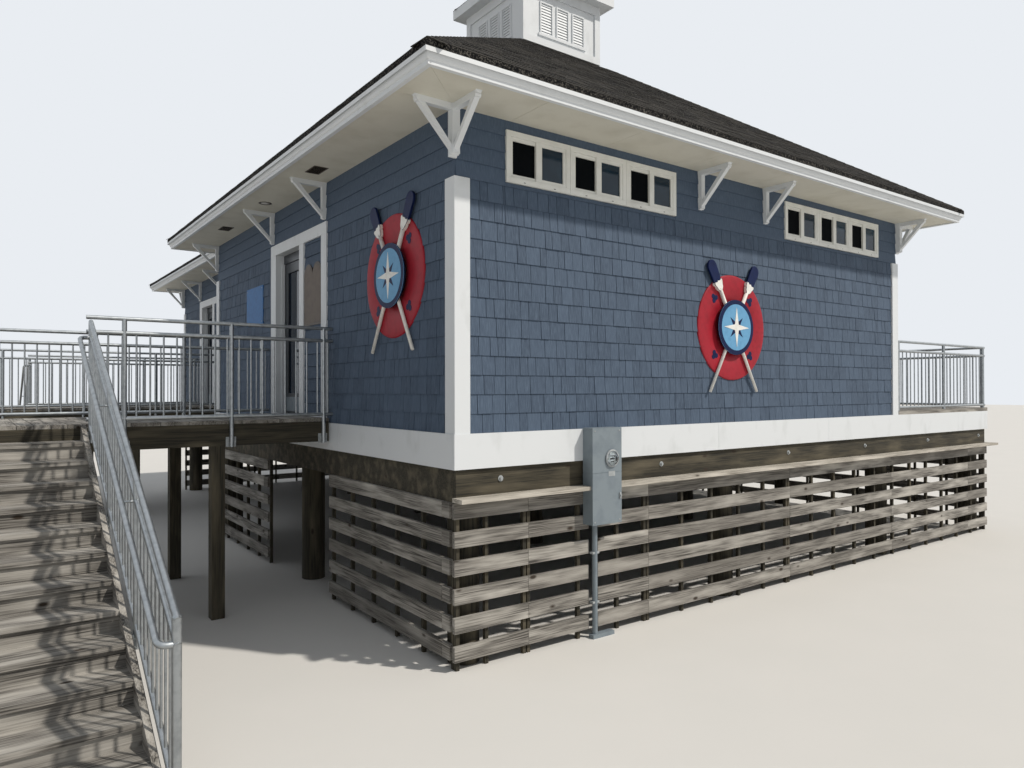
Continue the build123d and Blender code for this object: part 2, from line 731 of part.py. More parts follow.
CORNER_BRACKET = HALF - BRACKET_TIMBER / 2
REAR_CORNER_BRACKET = REAR_HALF - BRACKET_TIMBER / 2
with BuildPart() as brackets:
    for x in (-CORNER_BRACKET, -BRACKET_PAIR_SOUTH, BRACKET_PAIR_SOUTH, CORNER_BRACKET):
        bracket(SOUTH, x)
    for face in (WEST, EAST):
        for x in (-CORNER_BRACKET, -BRACKET_PAIR_DOOR, BRACKET_PAIR_DOOR, CORNER_BRACKET):
            bracket(face, x)
    beside_window = WINDOW_WIDTH / 2 + BRACKET_TIMBER
    for x in (-REAR_CORNER_BRACKET, -beside_window, beside_window, REAR_CORNER_BRACKET):
        bracket(REAR_NORTH, x)
    far_end = REAR_END - REAR_MIDDLE - BRACKET_TIMBER / 2
    for x in (-far_end, -BRACKET_PAIR_DOOR, BRACKET_PAIR_DOOR):
        bracket(REAR_WEST, x)
    for x in (-beside_window, beside_window, far_end):
        bracket(REAR_EAST, x)
save(brackets, "eave_brackets")

# Windows: a cased frame to each row of three, and the glass in it
PANE_OFFSET = (PANE_WIDTH + MEETING_STILE) / 2


def pane_places(x):
    return [
        (x + (unit - (UNITS - 1) / 2) * UNIT_WIDTH + side * PANE_OFFSET, WINDOW_Z)
        for unit in range(UNITS)
        for side in (-1, 1)
    ]


with BuildPart() as frames:
    for face, x in WINDOW_GROUPS:
        board_on(face, x, WINDOW_Z, WINDOW_WIDTH, UNIT_HEIGHT, CASING_PROUD)
        board_on(face, x, WINDOW_Z, WINDOW_WIDTH - 2 * CASING_LAP, UNIT_HEIGHT - 2 * CASING_LAP, -WALL)
        with BuildSketch(face.offset(CASING_PROUD)):
            with Locations(*pane_places(x)):
                Rectangle(PANE_WIDTH, PANE_HEIGHT)
        extrude(amount=-CASING_PROUD - WALL, mode=Mode.SUBTRACT)
save(frames, "window_frames")


# Doorways: casing and frame, with a fixed panel beside the door
DOOR_TOP = FLOOR_TOP + DOOR_GAP + DOOR_HEIGHT
DOOR_X = -DOORWAY_WIDTH / 2 + JAMB_FACE + DOOR_FRAME_FACE + DOOR_GAP + DOOR_WIDTH / 2
DOOR_LEFT = DOOR_X - DOOR_WIDTH / 2
DOOR_RIGHT = DOOR_X + DOOR_WIDTH / 2
PANEL_LEFT = DOOR_RIGHT + DOOR_GAP + MULLION
PANEL_RIGHT = DOORWAY_WIDTH / 2 - JAMB_FACE
LIGHT_BASE = FLOOR_TOP + DOOR_GAP + DOOR_KICK
LIGHT_TOP = DOOR_TOP - DOOR_STILE
HINGE_LEVELS = (FLOOR_TOP + HINGE_INSET, (FLOOR_TOP + DOOR_TOP) / 2, DOOR_TOP - HINGE_INSET)
HINGE_LINE = DOOR_LEFT - DOOR_GAP / 2


def hinges(face, on_door):
    """Three hinge halves on the inner side: the leaf's knuckles stand on the frame's."""
    half = HINGE_HEIGHT / 2
    side = 1 if on_door else -1
    for level in HINGE_LEVELS:
        low = level + SEAT_GAP if on_door else level - half
        centre = face.from_local_coords((HINGE_LINE, low, -WALL - HINGE_RADIUS))
        with BuildSketch(Plane(origin=centre, x_dir=face.x_dir, z_dir=face.y_dir)) as knuckle:
            Circle(HINGE_RADIUS)
            with Locations((side * (DOOR_GAP / 2 + HINGE_WING) / 2, -HINGE_RADIUS + HINGE_RADIUS / 4)):
                Rectangle(DOOR_GAP / 2 + HINGE_WING, HINGE_RADIUS / 2)
        extrude(knuckle.sketch, amount=half)


def doorway_casing(face):
    """The white casing and jambs of one doorway."""
    outer_z = (SIDING_BASE + SIDING_BASE + DOORWAY_HEIGHT) / 2
    board_on(face, 0, outer_z, DOORWAY_WIDTH, DOORWAY_HEIGHT, CASING_PROUD)
    board_on(face, 0, (SIDING_BASE + DOORWAY_TOP) / 2, DOORWAY_CUT, DOORWAY_TOP - SIDING_BASE, -WALL)
    with BuildSketch(face.offset(CASING_PROUD)) as openings:
        x = (DOOR_LEFT - DOOR_GAP + DOOR_RIGHT + DOOR_GAP) / 2
        with Locations((x, (FLOOR_TOP + DOOR_TOP + DOOR_GAP) / 2)):
            Rectangle(DOOR_WIDTH + 2 * DOOR_GAP, DOOR_TOP + DOOR_GAP - FLOOR_TOP)
        panel_top = SIDING_BASE + DOORWAY_HEIGHT - HEAD_FACE
        with Locations(((PANEL_LEFT + PANEL_RIGHT) / 2, (FLOOR_TOP + panel_top) / 2)):
            Rectangle(PANEL_RIGHT - PANEL_LEFT, panel_top - FLOOR_TOP)
    extrude(openings.sketch, amount=-CASING_PROUD - WALL, mode=Mode.SUBTRACT)
    hinges(face, on_door=False)


with BuildPart() as casings:
    for face in DOORWAYS:
        doorway_casing(face)
    with BuildSketch(Plane.XY.offset(SIDING_BASE)):
        eave_outline(-WALL)
    extrude(amount=FLOOR_TOP - SIDING_BASE, mode=Mode.SUBTRACT)
save(casings, "doorway_casings")

with BuildPart() as panels:
    for face in DOORWAYS:
        height = SIDING_BASE + DOORWAY_HEIGHT - HEAD_FACE - FLOOR_TOP
        board_on(
            face.offset(-PANEL_THICK), (PANEL_LEFT + PANEL_RIGHT) / 2, FLOOR_TOP + height / 2,
            PANEL_RIGHT - PANEL_LEFT, height, PANEL_THICK,
        )
save(panels, "entry_panels")


def door_handle(face):
    """A lever handle with its round rose on both sides of the leaf."""
    x = DOOR_RIGHT - HANDLE_INSET
    z = FLOOR_TOP + HANDLE_HEIGHT
    for surface, outward in ((-WALL + DOOR_THICK, 1), (-WALL, -1)):
        with BuildSketch(face.offset(surface)) as rose:
            with Locations((x, z)):
                Circle(HANDLE_ROSE / 2)
        extrude(rose.sketch, amount=outward * HANDLE_ROSE_THICK)
        with BuildSketch(face.offset(surface)) as spindle:
            with Locations((x, z)):
                Circle(HANDLE_SPINDLE / 2)
        extrude(spindle.sketch, amount=outward * HANDLE_REACH)
        with BuildSketch(face.offset(surface + outward * (HANDLE_REACH - LEVER_THICK))) as lever:
            with Locations((x - (LEVER_LENGTH - LEVER_HEIGHT) / 2, z)):
                SlotOverall(LEVER_LENGTH, LEVER_HEIGHT)
        extrude(lever.sketch, amount=outward * LEVER_THICK)


def door_leaf(face):
    """A glazed leaf: stiles, rails and a kick rail round one tall light."""
    with BuildSketch(face.offset(-WALL)) as leaf:
        with Locations((DOOR_X, (FLOOR_TOP + DOOR_GAP + DOOR_TOP) / 2)):
            Rectangle(DOOR_WIDTH, DOOR_HEIGHT)
        with Locations((DOOR_X, (LIGHT_BASE + LIGHT_TOP) / 2)):
            Rectangle(DOOR_WIDTH - 2 * DOOR_STILE, LIGHT_TOP - LIGHT_BASE, mode=Mode.SUBTRACT)
    extrude(leaf.sketch, amount=DOOR_THICK)
    hinges(face, on_door=True)
    door_handle(face)


def door_light(face):
    """The pane of one glazed leaf, in the middle of its thickness."""
    board_on(
        face.offset(-WALL + DOOR_THICK / 2 - GLASS / 2), DOOR_X, (LIGHT_BASE + LIGHT_TOP) / 2,
        DOOR_WIDTH - 2 * DOOR_STILE, LIGHT_TOP - LIGHT_BASE, GLASS,
    )


with BuildPart() as front_door:
    door_leaf(WEST)
save(front_door, "front_door")
with BuildPart() as front_light:
    door_light(WEST)
save(front_light, "front_door_glass")
with BuildPart() as other_doors:
    door_leaf(EAST)
    door_leaf(REAR_WEST)
save(other_doors, "other_doors")
with BuildPart() as glass:
    door_light(EAST)
    door_light(REAR_WEST)
    for face, x in WINDOW_GROUPS:
        with BuildSketch(face.offset(-GLASS_INSET)):
            with Locations(*pane_places(x)):
                Rectangle(PANE_WIDTH, PANE_HEIGHT)
        extrude(amount=-GLASS)
save(glass, "window_glass")

# Entrance walkways: boards, frame and posts
WALKWAYS = ((0, -HALF - BAND_THICK, -1), (REAR_MIDDLE, -REAR_HALF - BAND_THICK, 1))
WALK_BASE = DECK_TOP - BOARD_THICK - FASCIA_BOARD

with BuildPart() as walk_boards:
    for middle, edge, side in WALKWAYS:
        block((WALK_END, edge), (middle - WALK_HALF, middle + WALK_HALF), (DECK_TOP - BOARD_THICK, DECK_TOP))
save(walk_boards, "walkway_boards")

with BuildPart() as walk_frames:
    for middle, edge, side in WALKWAYS:
        z = (WALK_BASE, DECK_TOP - BOARD_THICK)
        block((WALK_END, edge), (middle - WALK_HALF, middle + WALK_HALF), z)
        inner = (WALK_END + JOIST_WIDTH, edge)
        bays = round((edge - WALK_END) / JOIST_PITCH)
        pitch = (inner[1] - inner[0]) / bays
        for k in range(bays):
            low = inner[0] + k * pitch
            block(
                (low, low + pitch - JOIST_WIDTH),
                (middle - WALK_HALF + JOIST_WIDTH, middle + WALK_HALF - JOIST_WIDTH), z, mode=Mode.SUBTRACT,
            )
save(walk_frames, "walkway_frames")

with BuildPart() as walk_posts:
    for middle, edge, side in WALKWAYS:
        for x in (WALK_END + POST_SIZE / 2, STAIR_EDGE, (STAIR_EDGE + edge) / 2):
            for y in (middle - WALK_HALF + POST_SIZE / 2, middle + WALK_HALF - POST_SIZE / 2):
                half = POST_SIZE / 2
                block((x - half, x + half), (y - half, y + half), (0, WALK_BASE))
save(walk_posts, "walkway_posts")

# Stairs: each step is a tread with the riser under its front edge, between straight stringers
STEP_X = (WALK_END + STRINGER_THICK, STAIR_EDGE - STRINGER_THICK)
with BuildPart() as steps:
    for middle, edge, side in WALKWAYS:
        for k in range(1, RISERS):
            front = WALK_HALF + k * GOING
            top = DECK_TOP - k * RISE
            foot = top - RISE + SEAT_GAP if k < RISERS - 1 else 0
            with BuildSketch(Plane(origin=(STEP_X[0], middle, 0), x_dir=(0, side, 0), z_dir=(side, 0, 0))):
                with BuildLine():
                    Polyline(
                        (front - GOING, top),
                        (front + TREAD_NOSE, top),
                        (front + TREAD_NOSE, top - BOARD_THICK),
                        (front, top - BOARD_THICK),
                        (front, foot),
                        (front - RISER_THICK, foot),
                        (front - RISER_THICK, top - BOARD_THICK),
                        (front - GOING, top - BOARD_THICK),
                        close=True,
                    )
                make_face()
            extrude(amount=side * (STEP_X[1] - STEP_X[0]))
save(steps, "stair_steps")

with BuildPart() as stringers:
    for middle, edge, side in WALKWAYS:
        for x in (WALK_END, STAIR_EDGE - STRINGER_THICK):
            with BuildSketch(Plane(origin=(x, middle, 0), x_dir=(0, side, 0), z_dir=(side, 0, 0))):
                with BuildLine():
                    Polyline(
                        (WALK_HALF, DECK_TOP),
                        (WALK_HALF + TREAD_NOSE, DECK_TOP),
                        (WALK_HALF + FLIGHT + TREAD_NOSE, RISE),
                        (WALK_HALF + FLIGHT + TREAD_NOSE, 0),
                        (WALK_HALF + FLIGHT - STRINGER_DEPTH, 0),
                        (WALK_HALF, DECK_TOP - RISE - STRINGER_DEPTH),
                        close=True,
                    )
                make_face()
            extrude(amount=side * STRINGER_THICK)
save(stringers, "stair_stringers")


def pipe(start, end, dia):
    """A straight pipe, many-sided with a flat on top, for its guard to join."""
    direction = Vector(*end) - Vector(*start)
    upright = start[0] == end[0] and start[1] == end[1]
    across = Vector(1, 0, 0) if upright else Vector(0, 0, 1).cross(direction)
    with BuildSketch(Plane(origin=start, x_dir=across, z_dir=direction)) as section:
        RegularPolygon(dia / 2, PIPE_SIDES, rotation=180 / PIPE_SIDES)
    return extrude(section.sketch, amount=direction.length, mode=Mode.PRIVATE)


def guard(start, end, posts, base=(DECK_TOP, DECK_TOP), foot=GUARD_FOOT, seat=(0, 0), handrail=False):
    """A run of guard: posts, three rails and pickets. base holds the walking line at both ends.
    seat points square from the guard to the timber that its foot plates are bolted to.
    A handrail runs along the inner side, and is returned to every post."""
    run = math.hypot(end[0] - start[0], end[1] - start[1])

    def at(distance, height):
        share = distance / run
        x = start[0] + (end[0] - start[0]) * share
        y = start[1] + (end[1] - start[1]) * share
        return (x, y, base[0] + (base[1] - base[0]) * share + height)

    pieces = []
    for height in (TOP_RAIL, SECOND_RAIL, BOTTOM_RAIL):
        pieces.append(pipe(at(0, height - RAIL_DIA / 2), at(run, height - RAIL_DIA / 2), RAIL_DIA))
    for distance in posts:
        top = at(distance, TOP_RAIL - RAIL_DIA / 2)
        low = top[2] - TOP_RAIL + RAIL_DIA / 2 - foot
        newel = handrail and distance == posts[-1]
        pieces.append(pipe((top[0], top[1], low), top, NEWEL_DIA if newel else PIPE_DIA))
        if foot:
            plate_x = PLATE_SIZE if seat[0] == 0 else PLATE_REACH
            plate_y = PLATE_SIZE if seat[1] == 0 else PLATE_REACH
            inward = GUARD_LINE - PLATE_REACH / 2
            with Locations((top[0] + seat[0] * inward, top[1] + seat[1] * inward, low + PLATE_SIZE / 2)):
                pieces.append(Box(plate_x, plate_y, PLATE_SIZE, mode=Mode.PRIVATE))
        if handrail:
            arm = at(distance, HANDRAIL_HEIGHT - RAIL_DIA / 2)
            hand = (arm[0] + seat[0] * HANDRAIL_REACH, arm[1] + seat[1] * HANDRAIL_REACH, arm[2])
            pieces.append(pipe(arm, hand, RAIL_DIA))
    if handrail:
        ends = [at(posts[k], HANDRAIL_HEIGHT - RAIL_DIA / 2) for k in (0, -1)]
        inner = [(x + seat[0] * HANDRAIL_REACH, y + seat[1] * HANDRAIL_REACH, z) for x, y, z in ends]
        pieces.append(pipe(*inner, RAIL_DIA))
    bays = round(run / PICKET_PITCH)
    middle = (SECOND_RAIL + BOTTOM_RAIL - RAIL_DIA) / 2
    with Locations(*[at((k + 0.5) * run / bays, middle) for k in range(bays)]):
        pieces.append(Box(PICKET, PICKET, SECOND_RAIL - BOTTOM_RAIL, mode=Mode.PRIVATE))
    return pieces


def even_posts(run, count, margin=PIPE_DIA):
    return [margin + k * (run - 2 * margin) / (count - 1) for k in range(count)]


def walkway_guards(middle, edge, side):
    """Guards on both long sides of a walkway and across its outer end."""
    stair_y = middle + side * (WALK_HALF + GUARD_LINE)
    back_y = middle - side * (WALK_HALF + GUARD_LINE)
    end_x = WALK_END - GUARD_LINE
    wall_x = edge + BAND_THICK
    first = BAND_THICK + (PLATE_SIZE + PIPE_DIA) / 2
    add(guard((wall_x, stair_y), (STAIR_EDGE, stair_y), [first, *SIDE_POSTS], seat=(0, -side)))
    back = even_posts(wall_x - end_x, BACK_POSTS, first)
    add(guard((wall_x, back_y), (end_x, back_y), back, seat=(0, side)))
    across = even_posts(abs(stair_y - back_y) - CORNER_GAP, END_POSTS, PLATE_SIZE)
    add(guard((end_x, back_y + side * CORNER_GAP), (end_x, stair_y), across, seat=(1, 0)))


with BuildPart() as entrance_guards:
    for middle, edge, side in WALKWAYS:
        walkway_guards(middle, edge, side)
save(entrance_guards, "walkway_guards")

with BuildPart() as stair_rails:
    for middle, edge, side in WALKWAYS:
        for x, inward in ((STAIR_EDGE + GUARD_LINE, -1), (WALK_END - GUARD_LINE, 1)):
            start = middle + side * (WALK_HALF + 2 * PIPE_DIA)
            end = middle + side * (WALK_HALF + FLIGHT)
            drop = abs(end - start) * RISE / GOING
            top = DECK_TOP - 2 * PIPE_DIA * RISE / GOING
            run = abs(end - start)
            posts = even_posts(run, STAIR_POSTS, PIPE_DIA / 2)
            walking = (top, top - drop)
            add(guard((x, start), (x, end), posts, walking, STAIR_GUARD_FOOT, (inward, 0), handrail=True))
save(stair_rails, "stair_rails")

with BuildPart() as deck_guards:
    south_y = -HALF - BAND_THICK + GUARD_LINE
    north_y = REAR_END + BAND_THICK - GUARD_LINE
    east_x = EAST_EDGE + BAND_THICK - GUARD_LINE
    near_x = HALF + CORNER_PROUD
    end_x = east_x - CORNER_GAP
    add(guard((near_x, south_y), (end_x, south_y), even_posts(end_x - near_x, DECK_POSTS[0]), foot=0))
    add(guard((east_x, south_y), (east_x, north_y), even_posts(north_y - south_y, DECK_POSTS[1]), foot=0))
    near_x = REAR_HALF + CORNER_PROUD
    add(guard((near_x, north_y), (end_x, north_y), even_posts(end_x - near_x, DECK_POSTS[2]), foot=0))
save(deck_guards, "deck_guards")

# Roundels: a life ring, two crossed oars and a round plaque on the south and west walls
ROUNDELS = ((SOUTH, SOUTH_ROUNDEL), (WEST, (-WEST_ROUNDEL[0], WEST_ROUNDEL[1])))
OAR_BACK = RING_THICK + SEAT_GAP
with BuildPart() as rings:
    for face, (x, z) in ROUNDELS:
        centre = face.from_local_coords((x, z, 0))
        with BuildSketch(Plane(origin=centre, x_dir=face.x_dir, z_dir=-face.y_dir)):
            width = (RING_DIA - RING_HOLE) / 2
            with Locations(((RING_DIA + RING_HOLE) / 4, RING_THICK / 2)):
                SlotOverall(width, RING_THICK)
        revolve(axis=Axis(centre, face.z_dir))
save(rings, "life_rings")


def oar(face, x, z, tilt, back):
    """One oar seen square on: shaft, blade and collar, turned about the ring's middle."""
    turn = math.radians(tilt)
    across = face.x_dir * math.cos(turn) + face.y_dir * math.sin(turn)
    spin = Plane(origin=face.from_local_coords((x, z, back)), x_dir=across, z_dir=face.z_dir)
    half = OAR_LENGTH / 2
    with BuildSketch(spin) as shaft:
        with Locations((0, -BLADE_LENGTH / 4)):
            Rectangle(OAR_SHAFT, OAR_LENGTH - BLADE_LENGTH / 2)
    extrude(shaft.sketch, amount=OAR_SHAFT)
    with BuildSketch(spin.offset(OAR_SHAFT / 4)) as blade:
        with BuildLine():
            neck = (OAR_SHAFT / 2, half - BLADE_LENGTH)
            shoulder = (BLADE_WIDTH / 2, half - BLADE_LENGTH + BLADE_NECK)
            cheek = (BLADE_WIDTH / 2, half - BLADE_WIDTH / 2)
            side = Polyline((0, neck[1]), neck, shoulder, cheek)
            ThreePointArc(side @ 1, (0, half), (-cheek[0], cheek[1]))
            Polyline((-cheek[0], cheek[1]), (-shoulder[0], shoulder[1]), (-neck[0], neck[1]), side @ 0)
        make_face()
    extrude(blade.sketch, amount=OAR_SHAFT / 2)


with BuildPart() as oars:
    for face, (x, z) in ROUNDELS:
        oar(face, x, z, OAR_TILT, OAR_BACK)
        oar(face, x, z, -OAR_TILT, OAR_BACK + OAR_SHAFT)
save(oars, "crossed_oars")

with BuildPart() as medallions:
    for face, (x, z) in ROUNDELS:
        with BuildSketch(face.offset(OAR_BACK + 2 * OAR_SHAFT)):
            with Locations((x, z)):
                Circle(MEDALLION_DIA / 2)
        extrude(amount=MEDALLION_THICK)
save(medallions, "medallions")

# Meter cabinet with its glass dome, and the conduit under it
with BuildPart() as cabinet:
    back = -HALF - BAND_THICK
    front = back - CABINET[1]
    seam = (CABINET_SILL + CABINET_SEAM, CABINET_SILL + CABINET_SEAM + SEAM_HEIGHT)
    block(CABINET_SPAN, (front, back), (CABINET_SILL, seam[0]))
    block((CABINET_SPAN[0] + SEAM_DEPTH, CABINET_SPAN[1] - SEAM_DEPTH), (front + SEAM_DEPTH, back), seam)
    block(CABINET_SPAN, (front, back), (seam[1], CABINET_SILL + CABINET[2]))
    conduit = (CABINET_X + CONDUIT_OFFSET, back - CONDUIT_STANDOFF)
    with BuildSketch():
        with Locations(conduit):
            Circle(CONDUIT_DIA / 2)
    extrude(amount=CABINET_SILL)
    plate_x = (conduit[0] - CONDUIT_DIA, conduit[0] - CONDUIT_DIA + FOOT_PLATE[0])
    plate_y = (back - SEAT_GAP - FOOT_PLATE[1], back - SEAT_GAP)
    block(plate_x, plate_y, (0, FOOT_PLATE[2]))
save(cabinet, "meter_cabinet")
with BuildPart() as dome:
    with BuildSketch(SOUTH.offset(BAND_THICK + CABINET[1])):
        with Locations((CABINET_X + DOME_OFFSET, CABINET_SILL + DOME_LEVEL)):
            Circle(DOME_RADIUS)
    extrude(amount=DOME_DEPTH, taper=DOME_TAPER)
save(dome, "meter_dome")

# Bare sign boards: a double-arched tablet on the entry panel and a plain board on the wall
with BuildPart() as tablet:
    width, height = TABLET
    centre_x = (PANEL_LEFT + PANEL_RIGHT) / 2
    base = DECK_TOP + TABLET_SILL
    arch = width / 4
    with BuildSketch(WEST):
        with Locations((centre_x, base + (height - arch) / 2)):
            Rectangle(width, height - arch)
        with Locations((centre_x - arch, base + height - arch), (centre_x + arch, base + height - arch)):
            Circle(arch)
    extrude(amount=SIGN_THICK)
    board_on(WEST, SIGN_X, DECK_TOP + SIGN_MIDDLE, SIGN[0], SIGN[1], SIGN_THICK)
save(tablet, "sign_boards")
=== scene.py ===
# %% [markdown]
# The lifeguard station is a framed building on a raised timber base. Its solids come from the packed
# frame, which gives every piece its place in metres, so nothing here is fitted by eye. This script
# gives each piece its surface: shingles, boards, pipes, paint and glass.

# %% Load the frame
import contextlib
import json
import math

import bmesh
import bpy
from mathutils import Matrix, Vector

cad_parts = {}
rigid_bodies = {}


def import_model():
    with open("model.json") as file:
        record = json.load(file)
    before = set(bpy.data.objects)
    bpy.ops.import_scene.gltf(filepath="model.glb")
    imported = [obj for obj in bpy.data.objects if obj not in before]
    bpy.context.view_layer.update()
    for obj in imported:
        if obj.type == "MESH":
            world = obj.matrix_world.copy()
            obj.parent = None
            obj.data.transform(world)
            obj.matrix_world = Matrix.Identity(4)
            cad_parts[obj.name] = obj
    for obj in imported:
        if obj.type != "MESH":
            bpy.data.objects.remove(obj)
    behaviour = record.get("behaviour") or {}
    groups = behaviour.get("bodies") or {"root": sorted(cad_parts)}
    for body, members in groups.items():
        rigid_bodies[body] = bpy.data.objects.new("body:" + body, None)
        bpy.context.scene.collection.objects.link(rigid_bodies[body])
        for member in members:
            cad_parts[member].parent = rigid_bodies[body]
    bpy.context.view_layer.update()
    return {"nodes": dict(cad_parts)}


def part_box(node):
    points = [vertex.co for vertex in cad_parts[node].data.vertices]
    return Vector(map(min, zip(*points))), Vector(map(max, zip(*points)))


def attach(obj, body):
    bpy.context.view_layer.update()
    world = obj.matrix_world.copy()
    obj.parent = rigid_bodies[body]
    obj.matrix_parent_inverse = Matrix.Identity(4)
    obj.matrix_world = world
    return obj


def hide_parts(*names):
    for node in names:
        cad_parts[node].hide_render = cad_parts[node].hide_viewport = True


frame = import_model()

# %% [markdown]
# The camera stands where the photographer stood. Its place, lens and tilt were worked out from the
# building's own edges, so they are plain numbers here. Z is up, and Y runs back along the door side.

# %% Camera
CAMERA_PLACE = (-7.430, -9.543, 2.520)
CAMERA_YAW = 36.25
CAMERA_PITCH = 0.42
CAMERA_ROLL = -0.11
SENSOR = 36.0
LENS = 25.73

camera_data = bpy.data.cameras.new("camera")
camera_data.sensor_width = SENSOR
camera_data.lens = LENS
camera = bpy.data.objects.new("camera", camera_data)
bpy.context.scene.collection.objects.link(camera)
camera.matrix_world = (
    Matrix.Translation(CAMERA_PLACE)
    @ Matrix.Rotation(math.radians(-CAMERA_YAW), 4, "Z")
    @ Matrix.Rotation(math.radians(90 + CAMERA_PITCH), 4, "X")
    @ Matrix.Rotation(math.radians(CAMERA_ROLL), 4, "Z")
)
bpy.context.scene.camera = camera
print("camera at", CAMERA_PLACE, "with a lens of", LENS, "mm")

# %% [markdown]
# Colours are written as sRGB hex values, as a paint maker writes them. A shader works on linear
# light, so one function turns them. A second one adds a node with its settings and links, which
# keeps each material down to a few lines that can be read.


# %% Colour and nodes
def colour(code):
    """An sRGB hex value as the linear colour that a shader takes."""
    parts = [int(code[k:k + 2], 16) / 255 for k in (1, 3, 5)]
    return tuple(c / 12.92 if c <= 0.04045 else ((c + 0.055) / 1.055) ** 2.4 for c in parts) + (1.0,)


def add(tree, kind, inputs=None, **settings):
    """Adds one node. Inputs are its sockets, by name or number, as values or as links."""
    node = tree.nodes.new(kind)
    for name, value in settings.items():
        setattr(node, name, value)
    for key, value in (inputs or {}).items():
        if isinstance(value, bpy.types.NodeSocket):
            tree.links.new(value, node.inputs[key])
        else:
            node.inputs[key].default_value = value
    return node


MIX_OUT = 2
MIX_A = 6
MIX_B = 7


def blend_colours(tree, share, first, second):
    """Two colours mixed by a share from 0 to 1."""
    mix = add(tree, "ShaderNodeMix", {0: share, MIX_A: first, MIX_B: second}, data_type="RGBA")
    return mix.outputs[MIX_OUT]


def between(tree, value, low, high):
    """A value stretched so that low gives 0 and high gives 1."""
    return add(tree, "ShaderNodeMapRange", {"Value": value, "From Min": low, "From Max": high}).outputs[0]


def new_material(name, **settings):
    """A material with its shader's own settings, the object's coordinates and each board's own tone."""
    material = bpy.data.materials.new(name)
    material.use_nodes = True
    tree = material.node_tree
    shader = tree.nodes["Principled BSDF"]
    for setting, value in settings.items():
        shader.inputs[setting.replace("_", " ")].default_value = value
    place = add(tree, "ShaderNodeTexCoord").outputs["Object"]
    tone = add(tree, "ShaderNodeAttribute", attribute_name="tone").outputs["Fac"]
    return material, tree, shader, place, tone


BOARD_SHIFT = (71, 53, 37)


def grain(tree, place, fine, long, axis, detail=4.0, tone=None):
    """Noise drawn out along one axis. fine and long are the size of a fleck in millimetres."""
    scale = [1000 / fine] * 3
    scale["XYZ".index(axis)] = 1000 / long
    mapped = add(tree, "ShaderNodeMapping", {"Vector": place, "Scale": scale}).outputs[0]
    if tone:
        # Each board starts at its own place in the noise, so the grain doesn't run from one to the next
        shift = add(tree, "ShaderNodeVectorMath", {0: tone, 1: BOARD_SHIFT}, operation="MULTIPLY").outputs[0]
        mapped = add(tree, "ShaderNodeVectorMath", {0: mapped, 1: shift}, operation="ADD").outputs[0]
    noise = add(tree, "ShaderNodeTexNoise", {"Vector": mapped, "Scale": 1.0, "Detail": detail})
    return noise.outputs[0]


def finished(tree, shader, tint, height, depth):
    """Links the colour, and bump from a height of 0 to 1 that is worth a depth in millimetres."""
    tree.links.new(tint, shader.inputs["Base Color"])
    bump = add(tree, "ShaderNodeBump", {"Height": height, "Distance": depth / 1000, "Strength": 1.0})
    tree.links.new(bump.outputs[0], shader.inputs["Normal"])


# %% [markdown]
# The walls are clad in stained shingles with an embossed upright grain. A matt stain scatters light
# evenly, so roughness is high and the eye reads the grain and the small steps in tone from shingle
# to shingle. That step comes from a number stored on each shingle.


# %% Wall and roof finishes
def stained_shingle():
    material, tree, shader, place, tone = new_material("stained_shingle_matt", Roughness=0.78)
    streaks = grain(tree, place, 6, 150, "Z", 5.0, tone)
    base = blend_colours(tree, tone, colour("#364558"), colour("#455569"))
    marked = blend_colours(tree, between(tree, streaks, 0.42, 0.78), base, colour("#57687c"))
    finished(tree, shader, marked, streaks, 2.0)
    return material


def mineral_shingle():
    """Asphalt shingle: coloured stone granules of about 1.5 mm, drawn at 12 mm so that they show."""
    # Loose granules scatter light and give almost no sheen
    material, tree, shader, place, tone = new_material("asphalt_shingle_mineral", Roughness=0.92, IOR=1.2)
    granule = grain(tree, place, 12, 12, "X", 2.0)
    base = blend_colours(tree, tone, colour("#0f1012"), colour("#383633"))
    flecked = blend_colours(tree, between(tree, granule, 0.5, 0.68), base, colour("#5d5a55"))
    finished(tree, shader, flecked, granule, 2.5)
    return material


# %% [markdown]
# The trim is exterior acrylic paint on boards. It is satin, a little off-white, and holds faint
# grime in slow drifts drawn out upright. The timber of the base has no paint: sun and salt turn it
# silver grey, with grain that runs along each board, so the noise is drawn out along the board's own axis.


# %% Paint and timber finishes
def white_paint():
    material, tree, shader, place, tone = new_material("acrylic_paint_white", Roughness=0.45)
    grime = grain(tree, place, 240, 420, "Z", 5.0, tone)
    brush = grain(tree, place, 5, 90, "X", 2.0)
    tint = blend_colours(tree, between(tree, grime, 0.56, 0.95), colour("#dde1e4"), colour("#c3c7c8"))
    finished(tree, shader, tint, brush, 0.4)
    return material


def bare_timber(name, axis, dark, light, pale, worn):
    """Unpainted softwood with its grain along one axis and knots here and there, board by board."""
    name = name + "_along_" + axis.lower()
    material, tree, shader, place, tone = new_material(name, Roughness=0.88)
    fibres = grain(tree, place, 9, 420, axis, 6.0, tone)
    boards = grain(tree, place, 110, 700, axis, 3.0, tone)
    base = blend_colours(tree, between(tree, fibres, 0.36, 0.64), colour(dark), colour(light))
    faded = blend_colours(tree, between(tree, boards, 0.45, 0.75), base, colour(pale))
    faded = blend_colours(tree, between(tree, tone, 0.35, 1.6), faded, colour(worn))
    spread = [1000 / 190] * 3
    spread["XYZ".index(axis)] = 1000 / 420
    spot = add(tree, "ShaderNodeMapping", {"Vector": place, "Scale": spread}).outputs[0]
    knots = add(tree, "ShaderNodeTexVoronoi", {"Vector": spot, "Scale": 1.0}).outputs["Distance"]
    knotted = blend_colours(tree, between(tree, knots, 0.13, 0.06), faded, colour("#33291f"))
    finished(tree, shader, knotted, fibres, 2.5)
    return material
